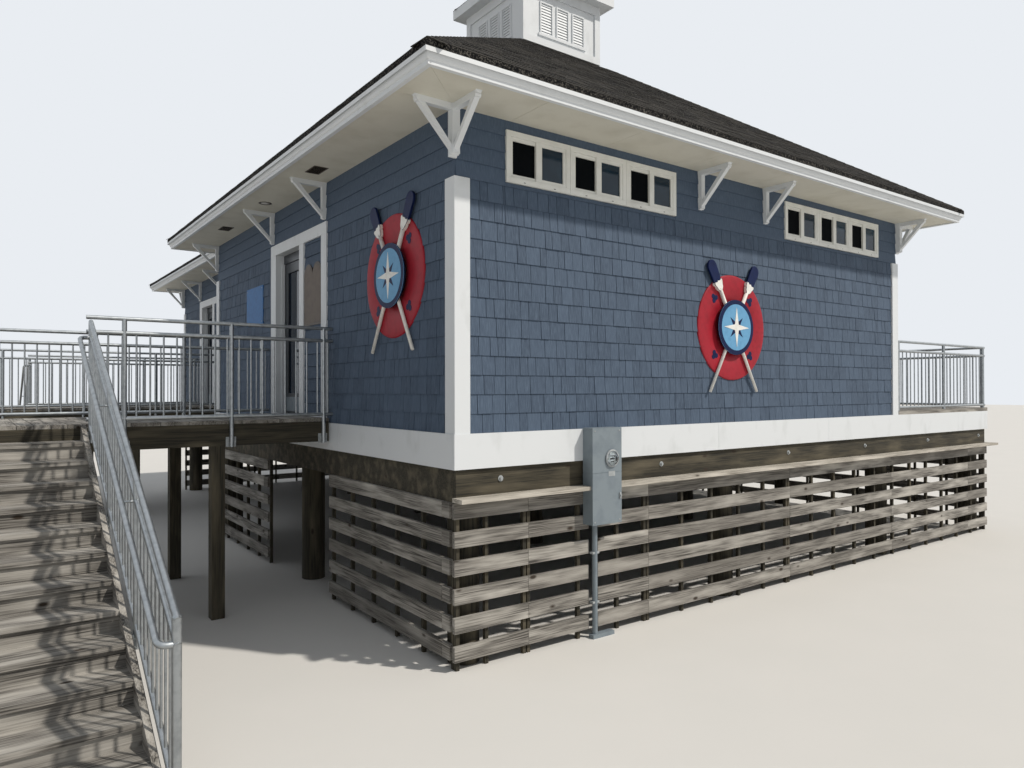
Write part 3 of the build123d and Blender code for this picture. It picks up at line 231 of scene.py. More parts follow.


# %% [markdown]
# The guards are mill-finish aluminium pipe, dulled by salt air. Glass shows as a dark, mirror-like
# surface by day, because the room behind it is far darker than the sky, so the glass's dark tint is
# painted shade of that room. The other paints are plain enamels that differ in colour and gloss, except
# the near-black ones, which are mostly painted shade, and the window pane's blue, which is painted shade
# and a painted reflection.


# %% Metal, glass and enamel finishes
def dull_aluminium():
    material, tree, shader, place, tone = new_material("aluminium_mill_finish", Metallic=1.0, Roughness=0.42)
    bloom = grain(tree, place, 45, 45, "X", 5.0)
    tint = blend_colours(tree, between(tree, bloom, 0.4, 0.8), colour("#a9adaf"), colour("#8d9295"))
    finished(tree, shader, tint, bloom, 0.2)
    return material


def dark_glass(name, code, second, through):
    material, tree, shader, place, tone = new_material(
        name, Roughness=0.03, IOR=1.5, Transmission_Weight=through)
    ripple = grain(tree, place, 300, 300, "X", 1.0)
    tint = blend_colours(tree, ripple, colour(code), colour(second))
    tree.links.new(tint, shader.inputs["Base Color"])
    return material


def enamel(name, code, shadow_code, roughness=0.35, fleck=60, ior=1.5):
    """Enamel: one colour, with a slow drift towards a second. A low IOR takes its sheen."""
    material, tree, shader, place, tone = new_material(name, Roughness=roughness, IOR=ior)
    drift = grain(tree, place, fleck, fleck, "X", 5.0)
    tint = blend_colours(tree, between(tree, drift, 0.45, 0.8), colour(code), colour(shadow_code))
    finished(tree, shader, tint, drift, 0.3)
    return material


SHINGLE = stained_shingle()
ROOFING = mineral_shingle()
WHITE = white_paint()
SILVER_CODES = ("#3d3a36", "#96928b", "#c0bcb4", "#635f59")
SILVER = {axis: bare_timber("weathered_softwood", axis, *SILVER_CODES) for axis in "XYZ"}
# A darker treated timber for the frame under the floor and the battens: partly the timber's own colour,
# partly painted shade of the space under the building.
TREATED_SHADE_CODES = ("#211f18", "#423d30", "#625b4b", "#2f2c23")
TREATED_SHADE = {axis: bare_timber("treated_softwood_painted_shade", axis, *TREATED_SHADE_CODES) for axis in "XYZ"}
# A paler copy of the silver timber for the ledge: partly bleaching of its open top, partly painted light on
# that up-facing top.
BLEACHED_AND_LIT = bare_timber("sun_bleached_softwood", "X", "#7c766c", "#c3bdb2", "#d2ccc1", "#a59f94")
ALUMINIUM = dull_aluminium()
# The door glass's dark blue, mottle and all, is painted shade of the unlit room behind it.
ROOM_SHADE_GLASS = dark_glass("glass_painted_room_shade", "#1c2a3c", "#27384d", 0.4)
CLEAR = dark_glass("meter_glass_clear", "#e8eef2", "#dfe8ee", 1.0)
CREAM = enamel("soffit_paint_cream", "#d8d5c8", "#c9c5b6", 0.6, 300)
VINYL = enamel("window_vinyl_white", "#e3e4df", "#d3d4ce", 0.4, 200)
DOOR_GREY = enamel("door_enamel_grey", "#33383e", "#2b3035")
RING_RED = enamel("marine_enamel_red", "#a01d2d", "#8a1826", 0.5, 60, 1.35)
NAVY = enamel("marine_enamel_navy", "#0e1d47", "#0b173a", 0.45, 60, 1.25)
OAR_WHITE = enamel("marine_enamel_white", "#ecebe6", "#d8d6cf", 0.4)
PALE_BLUE = enamel("marine_enamel_pale_blue", "#6aa3cb", "#5c94bd", 0.45, 60, 1.35)
CABINET_GREY = enamel("galvanised_steel_grey", "#7d888f", "#6c7780", 0.5, 120)
ZINC = enamel("galvanised_steel_bright", "#a7acae", "#83898c", 0.5, 30)
TAN = enamel("sign_paint_tan", "#6a5f55", "#5c524a", 0.55, 90, 1.35)
SIGN_BLUE = enamel("sign_paint_blue", "#2367a3", "#1f5b92", 0.5, 60, 1.35)
BRONZE = enamel("vent_enamel_bronze", "#5a5148", "#4b433b", 0.5)
# Near-black: painted shade in the weep slots, behind the louvres and inside the vents, and the printed marks
# of the meter's dial.
SHADE_AND_MARK_BLACK = enamel("painted_shade_and_dial_mark_black", "#101214", "#0b0c0e", 0.9, 60, 1.1)
# Near-black painted shade: the wall solids show only in the joints and at the edges of the shingles, where
# the course below lies in shade.
JOINT_SHADE = enamel("siding_joint_painted_shade", "#131a24", "#0d131b", 0.9, 60, 1.15)
# Near-black screen: the charcoal of the fibreglass mesh together with painted shade of the unlit room behind
# it.
SCREEN_AND_ROOM_SHADE = enamel("insect_screen_with_painted_room_shade", "#0b0e11", "#070a0c", 0.8, 60, 1.12)
# The fixed pane is an opaque dark blue: painted shade of the unlit room and a painted reflection of the sky,
# with a slow mottle.
PANE_SHADE_AND_REFLECTION = enamel("window_pane_painted_shade_and_reflection", "#152836", "#2c485b", 0.04, 500, 1.4)
TABLET_EDGE = enamel("sign_paint_umber", "#4b4136", "#40372e", 0.5)
print("finishes:", len(bpy.data.materials))

# %% [markdown]
# Each carried-over solid takes the finish of its real piece, with three exceptions that hold painted
# light. The wall solids, seen only in the joints of the shingles, are a near-black painted shade. The
# frame under the floor is a darker treated timber that is partly painted shade, and the ledge a paler
# silver timber that is partly painted light. Timber needs the axis that its boards run along, so the
# grain follows the board and never crosses it.

# %% Finish of each solid
FINISHES = (
    (JOINT_SHADE, "south_wall west_wall_south west_wall_north west_wall_head east_wall north_return_walls"),
    (JOINT_SHADE, "rear_west_wall rear_east_wall rear_north_wall entry_panels"),
    (WHITE, "water_table corner_boards eave_fascia cupola_walls cupola_louvres cupola_roof"),
    (WHITE, "eave_brackets doorway_casings"),
    (VINYL, "window_frames"), (CREAM, "soffit"), (BLEACHED_AND_LIT, "skirt_ledge"),
    (SILVER["X"], "skirt_south skirt_north stair_steps"),
    (SILVER["Y"], "skirt_east skirt_west east_deck_boards walkway_boards stair_stringers"),
    (TREATED_SHADE["X"], "rim_beams floor_frame floor walkway_frames"), (TREATED_SHADE["Z"], "piles walkway_posts"),
    (ROOFING, "main_roof rear_roof"), (ALUMINIUM, "walkway_guards stair_rails deck_guards"),
    (ROOM_SHADE_GLASS, "window_glass front_door_glass meter_dome"), (DOOR_GREY, "front_door other_doors"),
    (RING_RED, "life_rings"), (OAR_WHITE, "crossed_oars"), (PALE_BLUE, "medallions"),
    (CABINET_GREY, "meter_cabinet"), (TAN, "sign_boards"),
)


def finish_with(thing, *materials):
    """Gives a whole object its materials."""
    thing.data.materials.clear()
    for material in materials:
        thing.data.materials.append(material)


unfinished = set(frame["nodes"])
for material, nodes in FINISHES:
    for node in nodes.split():
        finish_with(frame["nodes"][node], material)
        unfinished.discard(node)
print("solids without a finish:", sorted(unfinished))

# %% [markdown]
# A shingled surface is rows of small wedges. Each is as wide as the splitter left it, its butt
# stands out from the wall and its top lies under the next row. Modelling them by hand would take
# days, and a picture of shingles has no shadow. A node tree lays them: widths are random numbers
# added up along each row, and the last one in a row is cut to fit, as a roofer cuts it. A side may
# lean in or out with height, which is what a hip, a valley or a mitre needs. Boards, slats and
# panels are the same thing with other sizes, so this one tree lays them too.


# %% Tree that lays courses
def maths(tree, operation, first, second=None):
    """One step of a sum, on numbers or on values that differ from point to point."""
    inputs = {0: first} if second is None else {0: first, 1: second}
    return add(tree, "ShaderNodeMath", inputs, operation=operation).outputs[0]


def position(tree):
    """The x, y and z of each point."""
    spot = add(tree, "GeometryNodeInputPosition").outputs[0]
    return add(tree, "ShaderNodeSeparateXYZ", {0: spot}).outputs


def new_tree(name, sizes, counts=()):
    """An empty tree, with its sizes, its counts and its material as named inputs."""
    tree = bpy.data.node_groups.new(name, "GeometryNodeTree")
    kinds = [(size, "NodeSocketFloat") for size in sizes] + [(count, "NodeSocketInt") for count in counts]
    for socket, kind in kinds + [("Material", "NodeSocketMaterial")]:
        tree.interface.new_socket(socket, in_out="INPUT", socket_type=kind)
    tree.interface.new_socket("Geometry", in_out="OUTPUT", socket_type="NodeSocketGeometry")
    return tree, add(tree, "NodeGroupInput").outputs


def end_tree(tree, given, laid):
    """Gives what was laid its material, and hands it out of the tree."""
    done = add(tree, "GeometryNodeSetMaterial", {"Geometry": laid, "Material": given["Material"]})
    add(tree, "NodeGroupOutput", {"Geometry": done.outputs[0]})
    return tree


def stored(tree, geometry, name, value, domain="POINT"):
    """Keeps a value on each point, and gives the geometry and the kept value."""
    node = add(tree, "GeometryNodeStoreNamedAttribute",
               {"Geometry": geometry, "Name": name, "Value": value}, domain=domain)
    read = add(tree, "GeometryNodeInputNamedAttribute", {"Name": name})
    return node.outputs[0], read.outputs[0]


SLIVER = 0.004


def courses_tree():
    """Courses in the plane y 0: x runs along the row, z up, and the butts stand out towards -y."""
    sizes = ("Length", "Exposure", "High", "Width", "Spread", "Joint", "Butt", "Top", "Uneven")
    limits = ("Left lean", "Right lean", "Lowest", "Highest")
    tree, given = new_tree("courses", sizes + limits, ("Rows", "Seed"))

    # Enough places in each row for the narrowest shingles, the surplus being taken away again
    lean = maths(tree, "ADD", maths(tree, "ABSOLUTE", given["Left lean"]),
                      maths(tree, "ABSOLUTE", given["Right lean"]))
    longest = maths(tree, "ADD", given["Length"], maths(tree, "MULTIPLY", lean, given["Highest"]))
    narrowest = maths(tree, "MULTIPLY", given["Width"], maths(tree, "SUBTRACT", 1.0, given["Spread"]))
    widest = maths(tree, "MULTIPLY", given["Width"], maths(tree, "ADD", 1.0, given["Spread"]))
    per_row = maths(tree, "ADD", maths(tree, "CEIL", maths(tree, "DIVIDE", longest, narrowest)), 1.0)
    points = add(tree, "GeometryNodePoints", {"Count": maths(tree, "MULTIPLY", per_row, given["Rows"])})
    index = add(tree, "GeometryNodeInputIndex").outputs[0]
    number = maths(tree, "FLOOR", maths(tree, "DIVIDE", maths(tree, "ADD", index, 0.5), per_row))
    chance = add(tree, "FunctionNodeRandomValue",
                 {2: narrowest, 3: widest, "ID": index, "Seed": given["Seed"]})
    laid, width = stored(tree, points.outputs[0], "width", chance.outputs[1])
    laid, row = stored(tree, laid, "row", number)
    along = add(tree, "GeometryNodeAccumulateField", {"Value": width, "Group ID": row})
    laid, start = stored(tree, laid, "start", along.outputs["Trailing"])

    # A row reaches as far as the wider of its two edges, and is cut to the lean afterwards
    foot = maths(tree, "MULTIPLY", row, given["Exposure"])
    head = maths(tree, "ADD", foot, given["High"])

    def reach(lean_of_side):
        return maths(tree, "MINIMUM", maths(tree, "MULTIPLY", lean_of_side, foot),
                          maths(tree, "MULTIPLY", lean_of_side, head))

    first_x = reach(given["Left lean"])
    last_x = maths(tree, "SUBTRACT", given["Length"], reach(given["Right lean"]))
    x = maths(tree, "ADD", first_x, start)
    left_over = maths(tree, "SUBTRACT", last_x, x)
    smallest = maths(tree, "ADD", given["Joint"], SLIVER)
    gone = False
    for first, second in ((left_over, smallest), (given["Highest"], foot), (head, given["Lowest"])):
        outside = add(tree, "FunctionNodeCompare", {0: first, 1: second}, operation="LESS_EQUAL").outputs[0]
        gone = add(tree, "FunctionNodeBooleanMath", {0: outside, 1: gone}, operation="OR").outputs[0]
    cut = maths(tree, "SUBTRACT", maths(tree, "MINIMUM", width, left_over), given["Joint"])
    laid, cut_width = stored(tree, laid, "cut", cut)
    laid = add(tree, "GeometryNodeDeleteGeometry", {"Geometry": laid, "Selection": gone}).outputs[0]
    spot = add(tree, "ShaderNodeCombineXYZ", {0: x, 2: foot}).outputs[0]
    laid = add(tree, "GeometryNodeSetPosition", {"Geometry": laid, "Position": spot}).outputs[0]

    # One wedge of unit size, thinner at its top
    cube = add(tree, "GeometryNodeMeshCube", {"Size": (1, 1, 1)}).outputs[0]
    moved = add(tree, "GeometryNodeTransform", {"Geometry": cube, "Translation": (0.5, -0.5, 0.5)}).outputs[0]
    corner = position(tree)
    thinning = maths(tree, "MULTIPLY", corner[2], maths(tree, "SUBTRACT", 1.0, given["Top"]))
    thinner = maths(tree, "MULTIPLY", corner[1], maths(tree, "SUBTRACT", 1.0, thinning))
    shape = add(tree, "ShaderNodeCombineXYZ", {0: corner[0], 1: thinner, 2: corner[2]}).outputs[0]
    wedge = add(tree, "GeometryNodeSetPosition", {"Geometry": moved, "Position": shape}).outputs[0]
    fewest = maths(tree, "SUBTRACT", 1.0, given["Uneven"])
    uneven = add(tree, "FunctionNodeRandomValue", {2: fewest, 3: 1.0, "ID": index, "Seed": 7}).outputs[1]
    thick = maths(tree, "MULTIPLY", given["Butt"], uneven)
    scale = add(tree, "ShaderNodeCombineXYZ", {0: cut_width, 1: thick, 2: given["High"]}).outputs[0]
    laid = add(tree, "GeometryNodeInstanceOnPoints",
               {"Points": laid, "Instance": wedge, "Scale": scale}).outputs[0]
    chance = add(tree, "FunctionNodeRandomValue", {2: 0.0, 3: 1.0, "ID": index, "Seed": given["Seed"]})
    laid, tone = stored(tree, laid, "tone", chance.outputs[1], "INSTANCE")
    laid = add(tree, "GeometryNodeRealizeInstances", {"Geometry": laid}).outputs[0]

    # Cut to the sides and to the top and bottom
    at = position(tree)
    z = maths(tree, "MINIMUM", maths(tree, "MAXIMUM", at[2], given["Lowest"]), given["Highest"])
    left = maths(tree, "MULTIPLY", given["Left lean"], z)
    right = maths(tree, "SUBTRACT", given["Length"], maths(tree, "MULTIPLY", given["Right lean"], z))
    x = maths(tree, "MINIMUM", maths(tree, "MAXIMUM", at[0], left), right)
    held = add(tree, "ShaderNodeCombineXYZ", {0: x, 1: at[1], 2: z}).outputs[0]
    laid = add(tree, "GeometryNodeSetPosition", {"Geometry": laid, "Position": held}).outputs[0]
    return end_tree(tree, given, laid)


COURSES = courses_tree()


def evaluated_mesh(holder):
    """The plain mesh of an object as its modifiers or its curve make it. The object itself goes."""
    depsgraph = bpy.context.evaluated_depsgraph_get()
    mesh = bpy.data.meshes.new_from_object(
        holder.evaluated_get(depsgraph), preserve_all_data_layers=True, depsgraph=depsgraph)
    bpy.data.objects.remove(holder)
    return mesh


def run_tree(tree, values):
    """The plain mesh that a node tree makes from named values."""
    holder = bpy.data.objects.new("holder", bpy.data.meshes.new("holder"))
    bpy.context.scene.collection.objects.link(holder)
    modifier = holder.modifiers.new("tree", "NODES")
    modifier.node_group = tree
    for socket in tree.interface.items_tree:
        if socket.in_out == "INPUT" and socket.name in values:
            modifier[socket.identifier] = values[socket.name]
    return evaluated_mesh(holder)


def clean_mesh(mesh):
    """Takes out faces that a cut left without area, and values that only the tree needed."""
    shell = bmesh.new()
    shell.from_mesh(mesh)
    bmesh.ops.dissolve_degenerate(shell, edges=shell.edges, dist=1e-5)
    shell.to_mesh(mesh)
    shell.free()
    for name in ("width", "row", "start", "cut"):
        if name in mesh.attributes:
            mesh.attributes.remove(mesh.attributes[name])
    return mesh


def gather(name, meshes, body="building", replaced=()):
    """Joins meshes into one piece that rides on a body."""
    things = []
    for mesh in meshes:
        thing = bpy.data.objects.new(name, mesh)
        bpy.context.scene.collection.objects.link(thing)
        things.append(thing)
    if len(things) > 1:
        with bpy.context.temp_override(active_object=things[0], selected_editable_objects=things):
            bpy.ops.object.join()
    piece = things[0]
    piece.name = name
    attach(piece, body)
    if replaced:
        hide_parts(*replaced)
    print(name, len(piece.data.polygons), "faces")
    return piece


def face_frame(origin, along, up, outward):
    """The place of a surface: x along it, z up it, and -y out of it."""
    place = Matrix((Vector(along), -Vector(outward), Vector(up))).transposed().to_4x4()
    place.translation = origin
    return place


def lay(origin, along, up, outward, **values):
    """Courses laid on a surface, as a mesh."""
    settings = dict.fromkeys(("Spread", "Joint", "Uneven", "Left lean", "Right lean", "Lowest"), 0.0)
    settings.update({"Top": 1.0, "Rows": 1, "Seed": 1, "High": values["Exposure"]})
    for name, value in values.items():
        settings[name.replace("_", " ")] = value
    for name, value in settings.items():
        if name not in ("Rows", "Seed", "Material"):
            settings[name] = float(value)
    mesh = clean_mesh(run_tree(COURSES, settings))
    mesh.transform(face_frame(origin, along, up, outward))
    return mesh


# %% [markdown]
# Many places below come from the solids themselves. A node can hold several solids that don't touch,
# so this finds each one's own box by following its edges.


# %% Boxes of the separate solids
def solids_of(node):
    """The lowest and highest corner of each separate solid in a node, in order of place."""
    shell = bmesh.new()
    shell.from_mesh(frame["nodes"][node].data)
    bmesh.ops.remove_doubles(shell, verts=shell.verts, dist=1e-5)
    boxes = []
    seen = set()
    for first in shell.verts:
        if first in seen:
            continue
        seen.add(first)
        waiting = [first]
        members = []
        while waiting:
            vertex = waiting.pop()
            members.append(vertex.co.copy())
            for edge in vertex.link_edges:
                other = edge.other_vert(vertex)
                if other not in seen:
                    seen.add(other)
                    waiting.append(other)
        low = Vector([min(point[k] for point in members) for k in range(3)])
        high = Vector([max(point[k] for point in members) for k in range(3)])
        boxes.append((low, high))
    shell.free()
    return sorted(boxes, key=lambda box: (round(box[0].y, 2), round(box[0].x, 2), round(box[0].z, 2)))


UP = Vector((0, 0, 1))
SOUTH = Vector((0, -1, 0))
NORTH = Vector((0, 1, 0))
EAST = Vector((1, 0, 0))
WEST = Vector((-1, 0, 0))

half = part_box("south_wall")[1].x
rear_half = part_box("rear_north_wall")[1].x
rear_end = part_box("rear_north_wall")[1].y
siding_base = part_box("south_wall")[0].z
siding_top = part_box("south_wall")[1].z
east_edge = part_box("rim_beams")[1].x
window_boxes = solids_of("window_frames")
doorway_boxes = solids_of("doorway_casings")
corner_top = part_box("corner_boards")[1].z
print("windows:", len(window_boxes), "doorways:", len(doorway_boxes), "wall half", round(half, 4))


def outward_of(low, high):
    """Which way a flat thing on a wall faces, from its box."""
    middle = (low + high) / 2
    if high.x - low.x > high.y - low.y:
        return SOUTH if middle.y < 0 else NORTH
    return WEST if middle.x < 0 else EAST


def sides_of(wide, narrow, end):
    """The eight sides of the plan, main block then rear: name, left end, way it faces, length and corners.

    A side is seen from outside. Its left and right corner is 1 where it stands out and -1 where it turns in.
    """
    step = wide - narrow
    return [
        ("south", (-wide, -wide), SOUTH, 2 * wide, 1, 1),
        ("west", (-wide, wide), WEST, 2 * wide, 1, 1),
        ("east", (wide, -wide), EAST, 2 * wide, 1, 1),
        ("return_east", (wide, wide), NORTH, step, 1, -1),
        ("return_west", (-narrow, wide), NORTH, step, -1, 1),
        ("rear_west", (-narrow, end), WEST, end - wide, 1, -1),
        ("rear_east", (narrow, wide), EAST, end - wide, -1, 1),
        ("rear_north", (narrow, end), NORTH, 2 * narrow, 1, 1),
    ]


WALL_SIDES = sides_of(half, rear_half, rear_end)
rear_side = rear_end - half
return_side = half - rear_half


# %% [markdown]
# The walls carry thirteen courses of shingles up to the tops of the corner boards, and four plain lap
# boards above them. Doorways and windows interrupt them. A face is therefore laid in stretches: the
# ends of every opening divide it, and each stretch runs up to the foot of its opening or down to its
# head.

# %% Wall cladding
SHINGLE_ROWS = 13
SHINGLE_WIDTH = 0.135
SHINGLE_SPREAD = 0.42
SHINGLE_BUTT = 0.017
SHINGLE_JOINT = 0.005
LAP_ROWS = 4
SHINGLE_LAP = 0.030
LAP_BUTT = 0.015
LAP_OVER = 0.010
CORNER_COVER = 0.135
OPENING_TRIM = 0.002
ON_WALL = 0.2
PAST_CORNER = 0.1
SEEDS = {"south": 11, "west": 21, "east": 31, "return_east": 41, "return_west": 51, "rear_west": 61,
         "rear_east": 71, "rear_north": 81}
wall_height = siding_top - siding_base
shingle_top = corner_top - siding_base
shingle_exposure = shingle_top / SHINGLE_ROWS
lap_exposure = (wall_height - shingle_top) / LAP_ROWS


def openings_on(origin, along, outward, length):
    """The openings of a wall face, as (left, right, foot, head) seen on it."""
    found = []
    for low, high in window_boxes + doorway_boxes:
        middle = (low + high) / 2
        on_wall = abs((middle - origin).dot(outward)) < ON_WALL
        left, right = sorted(((low - origin).dot(along), (high - origin).dot(along)))
        within = -PAST_CORNER < left and right < length + PAST_CORNER
        if outward_of(low, high) == outward and on_wall and within:
            found.append((left, right, low.z - siding_base, high.z - siding_base))
    return found


def clad(origin, outward, length, left_cover, right_cover, seed):
    """The shingles and laps of one wall face, as meshes."""
    origin = Vector(origin)
    along = UP.cross(outward)
    meshes = []

    def stretch(left, right, low, high, exposure, rows, lift, **values):
        """Courses between two ends and two heights above the siding's base."""
        if right - left > 0.01 and high - low > 0.01:
            start = origin + along * left + UP * lift
            meshes.append(lay(start, along, UP, outward, Length=right - left, Exposure=exposure, Rows=rows,
                              Lowest=low - lift, Highest=high - lift, **values))

    found = openings_on(origin, along, outward, length)
    edges = sorted({0.0, length, *[min(max(e, 0.0), length) for o in found for e in o[:2]]})
    for left, right in zip(edges, edges[1:]):
        spans = [(0.0, wall_height)]
        for opening in found:
            if opening[0] < (left + right) / 2 < opening[1]:
                spans = [(0.0, opening[2] - OPENING_TRIM), (opening[3] + OPENING_TRIM, wall_height)]
        for low, high in spans:
            start = max(left, left_cover)
            end = min(right, length - right_cover)
            stretch(start, end, low, min(high, shingle_top), shingle_exposure, SHINGLE_ROWS, 0.0,
                    High=shingle_exposure + SHINGLE_LAP, Width=SHINGLE_WIDTH, Spread=SHINGLE_SPREAD,
                    Joint=SHINGLE_JOINT, Butt=SHINGLE_BUTT, Top=0.25, Uneven=0.3, Seed=seed,
                    Material=SHINGLE)
            stretch(left, right, max(low, shingle_top), high, lap_exposure, LAP_ROWS, shingle_top,
                    High=lap_exposure + LAP_OVER, Width=length + 1, Butt=LAP_BUTT, Top=0.2, Seed=3,
                    Material=SHINGLE)
        seed += 1
    return meshes


for name, corner, outward, length, left, right in WALL_SIDES:
    covers = [CORNER_COVER if corner_sign > 0 else 0.0 for corner_sign in (left, right)]
    gather("cladding_" + name, clad((*corner, siding_base), outward, length, *covers, SEEDS[name]))

# %% [markdown]
# The roofs are asphalt shingle. Courses run from the eave to the ridge, and a slope's sides lean in
# at a hip and out at a valley, both at 45 degrees in plan. Each course stands only a few millimetres
# proud, which is enough for the thin shadow lines that the eye takes for a shingle roof.

# %% Roof shingles
SLOPE = 8 / 12
ROOF_EXPOSURE = 0.142
ROOF_WIDTH = 0.24
ROOF_LAP = 0.040
ROOF_BUTT = 0.009
EAVE_STEP = 0.008
EDGE_HEIGHT = 0.049
pitch = math.atan(SLOPE)
HIP_LEAN = math.cos(pitch)
main_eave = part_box("main_roof")[1].x
rear_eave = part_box("rear_roof")[1].x
rear_eave_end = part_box("rear_roof")[1].y
main_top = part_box("main_roof")[1].z
eave_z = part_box("main_roof")[0].z + EDGE_HEIGHT
main_run = (main_top - eave_z) / SLOPE


def roof_slope(corner, outward, length, run, **values):
    """Shingles on one slope. corner is its left end at the eave, seen from outside."""
    up_slope = (-outward) * math.cos(pitch) + UP * math.sin(pitch)
    normal = outward * math.sin(pitch) + UP * math.cos(pitch)
    return lay(Vector(corner), UP.cross(outward), up_slope, normal, Length=length, Spread=0.5, Joint=0.004,
               Top=0.2, Uneven=0.4, Highest=run / math.cos(pitch), Material=ROOFING, **values)


ROOF_SEEDS = {"south": 5, "east": 6, "west": 7, "return_east": 8, "return_west": 9, "rear_west": 10,
              "rear_east": 11, "rear_north": 12}
EAVE_SIDES = sides_of(main_eave, rear_eave, rear_eave_end)
slopes = {"main": [], "rear": []}
for name, corner, outward, length, left, right in EAVE_SIDES:
    run = main_run if name in ("south", "west", "east") else rear_eave
    rows = math.ceil(run / math.cos(pitch) / ROOF_EXPOSURE)
    slopes["rear" if name.startswith("rear") else "main"].append(
        roof_slope((*corner, eave_z), outward, length, run, Exposure=ROOF_EXPOSURE, Rows=rows,
                   High=ROOF_EXPOSURE + ROOF_LAP, Width=ROOF_WIDTH, Butt=ROOF_BUTT, Lowest=EAVE_STEP,
                   Left_lean=left * HIP_LEAN, Right_lean=right * HIP_LEAN, Seed=ROOF_SEEDS[name]))
for block, meshes in slopes.items():
    gather("roof_shingles_" + block, meshes)

# %% [markdown]
# Hips and ridges are covered by shingles folded over the line, each lapping the one below it. They
# follow a line at a fixed spacing, so a second tree sets one folded plate on each point of it.


# %% Tree that lays caps along a line
def caps_tree():
    """Folded plates along +x from the origin, falling away on both sides."""
    tree, given = new_tree("caps", ("Length", "Exposure", "Half width", "Fall", "Thick"))
    count = maths(tree, "FLOOR", maths(tree, "DIVIDE", given["Length"], given["Exposure"]))
    step = add(tree, "ShaderNodeCombineXYZ", {0: given["Exposure"]}).outputs[0]
    line = add(tree, "GeometryNodeMeshLine", {"Count": count, "Offset": step}).outputs[0]
    wide = maths(tree, "MULTIPLY", given["Half width"], 2.0)
    long = maths(tree, "MULTIPLY", given["Exposure"], 1.6)
    size = add(tree, "ShaderNodeCombineXYZ", {0: long, 1: wide, 2: given["Thick"]}).outputs[0]
    plate = add(tree, "GeometryNodeMeshCube", {"Size": size, "Vertices Y": 3}).outputs[0]
    corner = position(tree)
    drop = maths(tree, "MULTIPLY", maths(tree, "ABSOLUTE", corner[1]), given["Fall"])
    # The lower end lies on the cap below it, so it is lifted by one thickness
    lift = maths(tree, "MULTIPLY", maths(tree, "DIVIDE", corner[0], long), given["Thick"])
    z = maths(tree, "SUBTRACT", maths(tree, "SUBTRACT", corner[2], drop), lift)
    folded = add(tree, "ShaderNodeCombineXYZ", {0: corner[0], 1: corner[1], 2: z}).outputs[0]
    plate = add(tree, "GeometryNodeSetPosition", {"Geometry": plate, "Position": folded}).outputs[0]
    shift = add(tree, "ShaderNodeCombineXYZ", {0: maths(tree, "MULTIPLY", long, 0.5)}).outputs[0]
    plate = add(tree, "GeometryNodeTransform", {"Geometry": plate, "Translation": shift}).outputs[0]
    laid = add(tree, "GeometryNodeInstanceOnPoints", {"Points": line, "Instance": plate}).outputs[0]
    index = add(tree, "GeometryNodeInputIndex").outputs[0]
    chance = add(tree, "FunctionNodeRandomValue", {2: 0.0, 3: 1.0, "ID": index, "Seed": 4}).outputs[1]
    laid, tone = stored(tree, laid, "tone", chance, "INSTANCE")
    laid = add(tree, "GeometryNodeRealizeInstances", {"Geometry": laid}).outputs[0]
    return end_tree(tree, given, laid)


CAPS = caps_tree()
CAP_LIFT = 0.010
CAP_SHORT = 0.1
CAP_THICK = 0.007
# Across a hip at 45 degrees in plan the roof falls at the slope over the square root of two
HIP_FALL = SLOPE / math.sqrt(2)


def cap_line(start, end, fall, half_width=0.14, exposure=ROOF_EXPOSURE, short=CAP_SHORT):
    """Caps from a low point up to a high one."""
    start = Vector(start)
    way = Vector(end) - start
    mesh = run_tree(CAPS, {"Length": way.length - short, "Exposure": exposure, "Half width": half_width,
                           "Fall": fall, "Thick": CAP_THICK, "Material": ROOFING})
    direction = way.normalized()
    across = UP.cross(direction).normalized()
    over = direction.cross(across)
    place = Matrix((direction, across, over)).transposed().to_4x4()
    place.translation = start + over * CAP_LIFT
    mesh.transform(place)
    return mesh


CAP_INSET = 0.03
RIDGE_INSET = 0.05
top_half = main_eave - main_run
ridge_z = eave_z + rear_eave * SLOPE
ridge_end = rear_eave_end - rear_eave
low_cap = eave_z + CAP_INSET * SLOPE
low_main = main_eave - CAP_INSET
meshes = []
for side_x in (-1, 1):
    for side_y in (-1, 1):
        meshes.append(cap_line((side_x * low_main, side_y * low_main, low_cap),
                               (side_x * top_half, side_y * top_half, main_top), HIP_FALL))
    foot = (side_x * (rear_eave - CAP_INSET), rear_eave_end - CAP_INSET, low_cap)
    meshes.append(cap_line(foot, (0, ridge_end, ridge_z), HIP_FALL))
meshes.append(cap_line((0, ridge_end - RIDGE_INSET, ridge_z), (0, main_eave - rear_eave, ridge_z), SLOPE))
gather("roof_caps", meshes)

# %% [markdown]
# The cupola has the same roof at a smaller scale, on a square plan. Its eave board stays white, so
# only the four slopes are shingled.

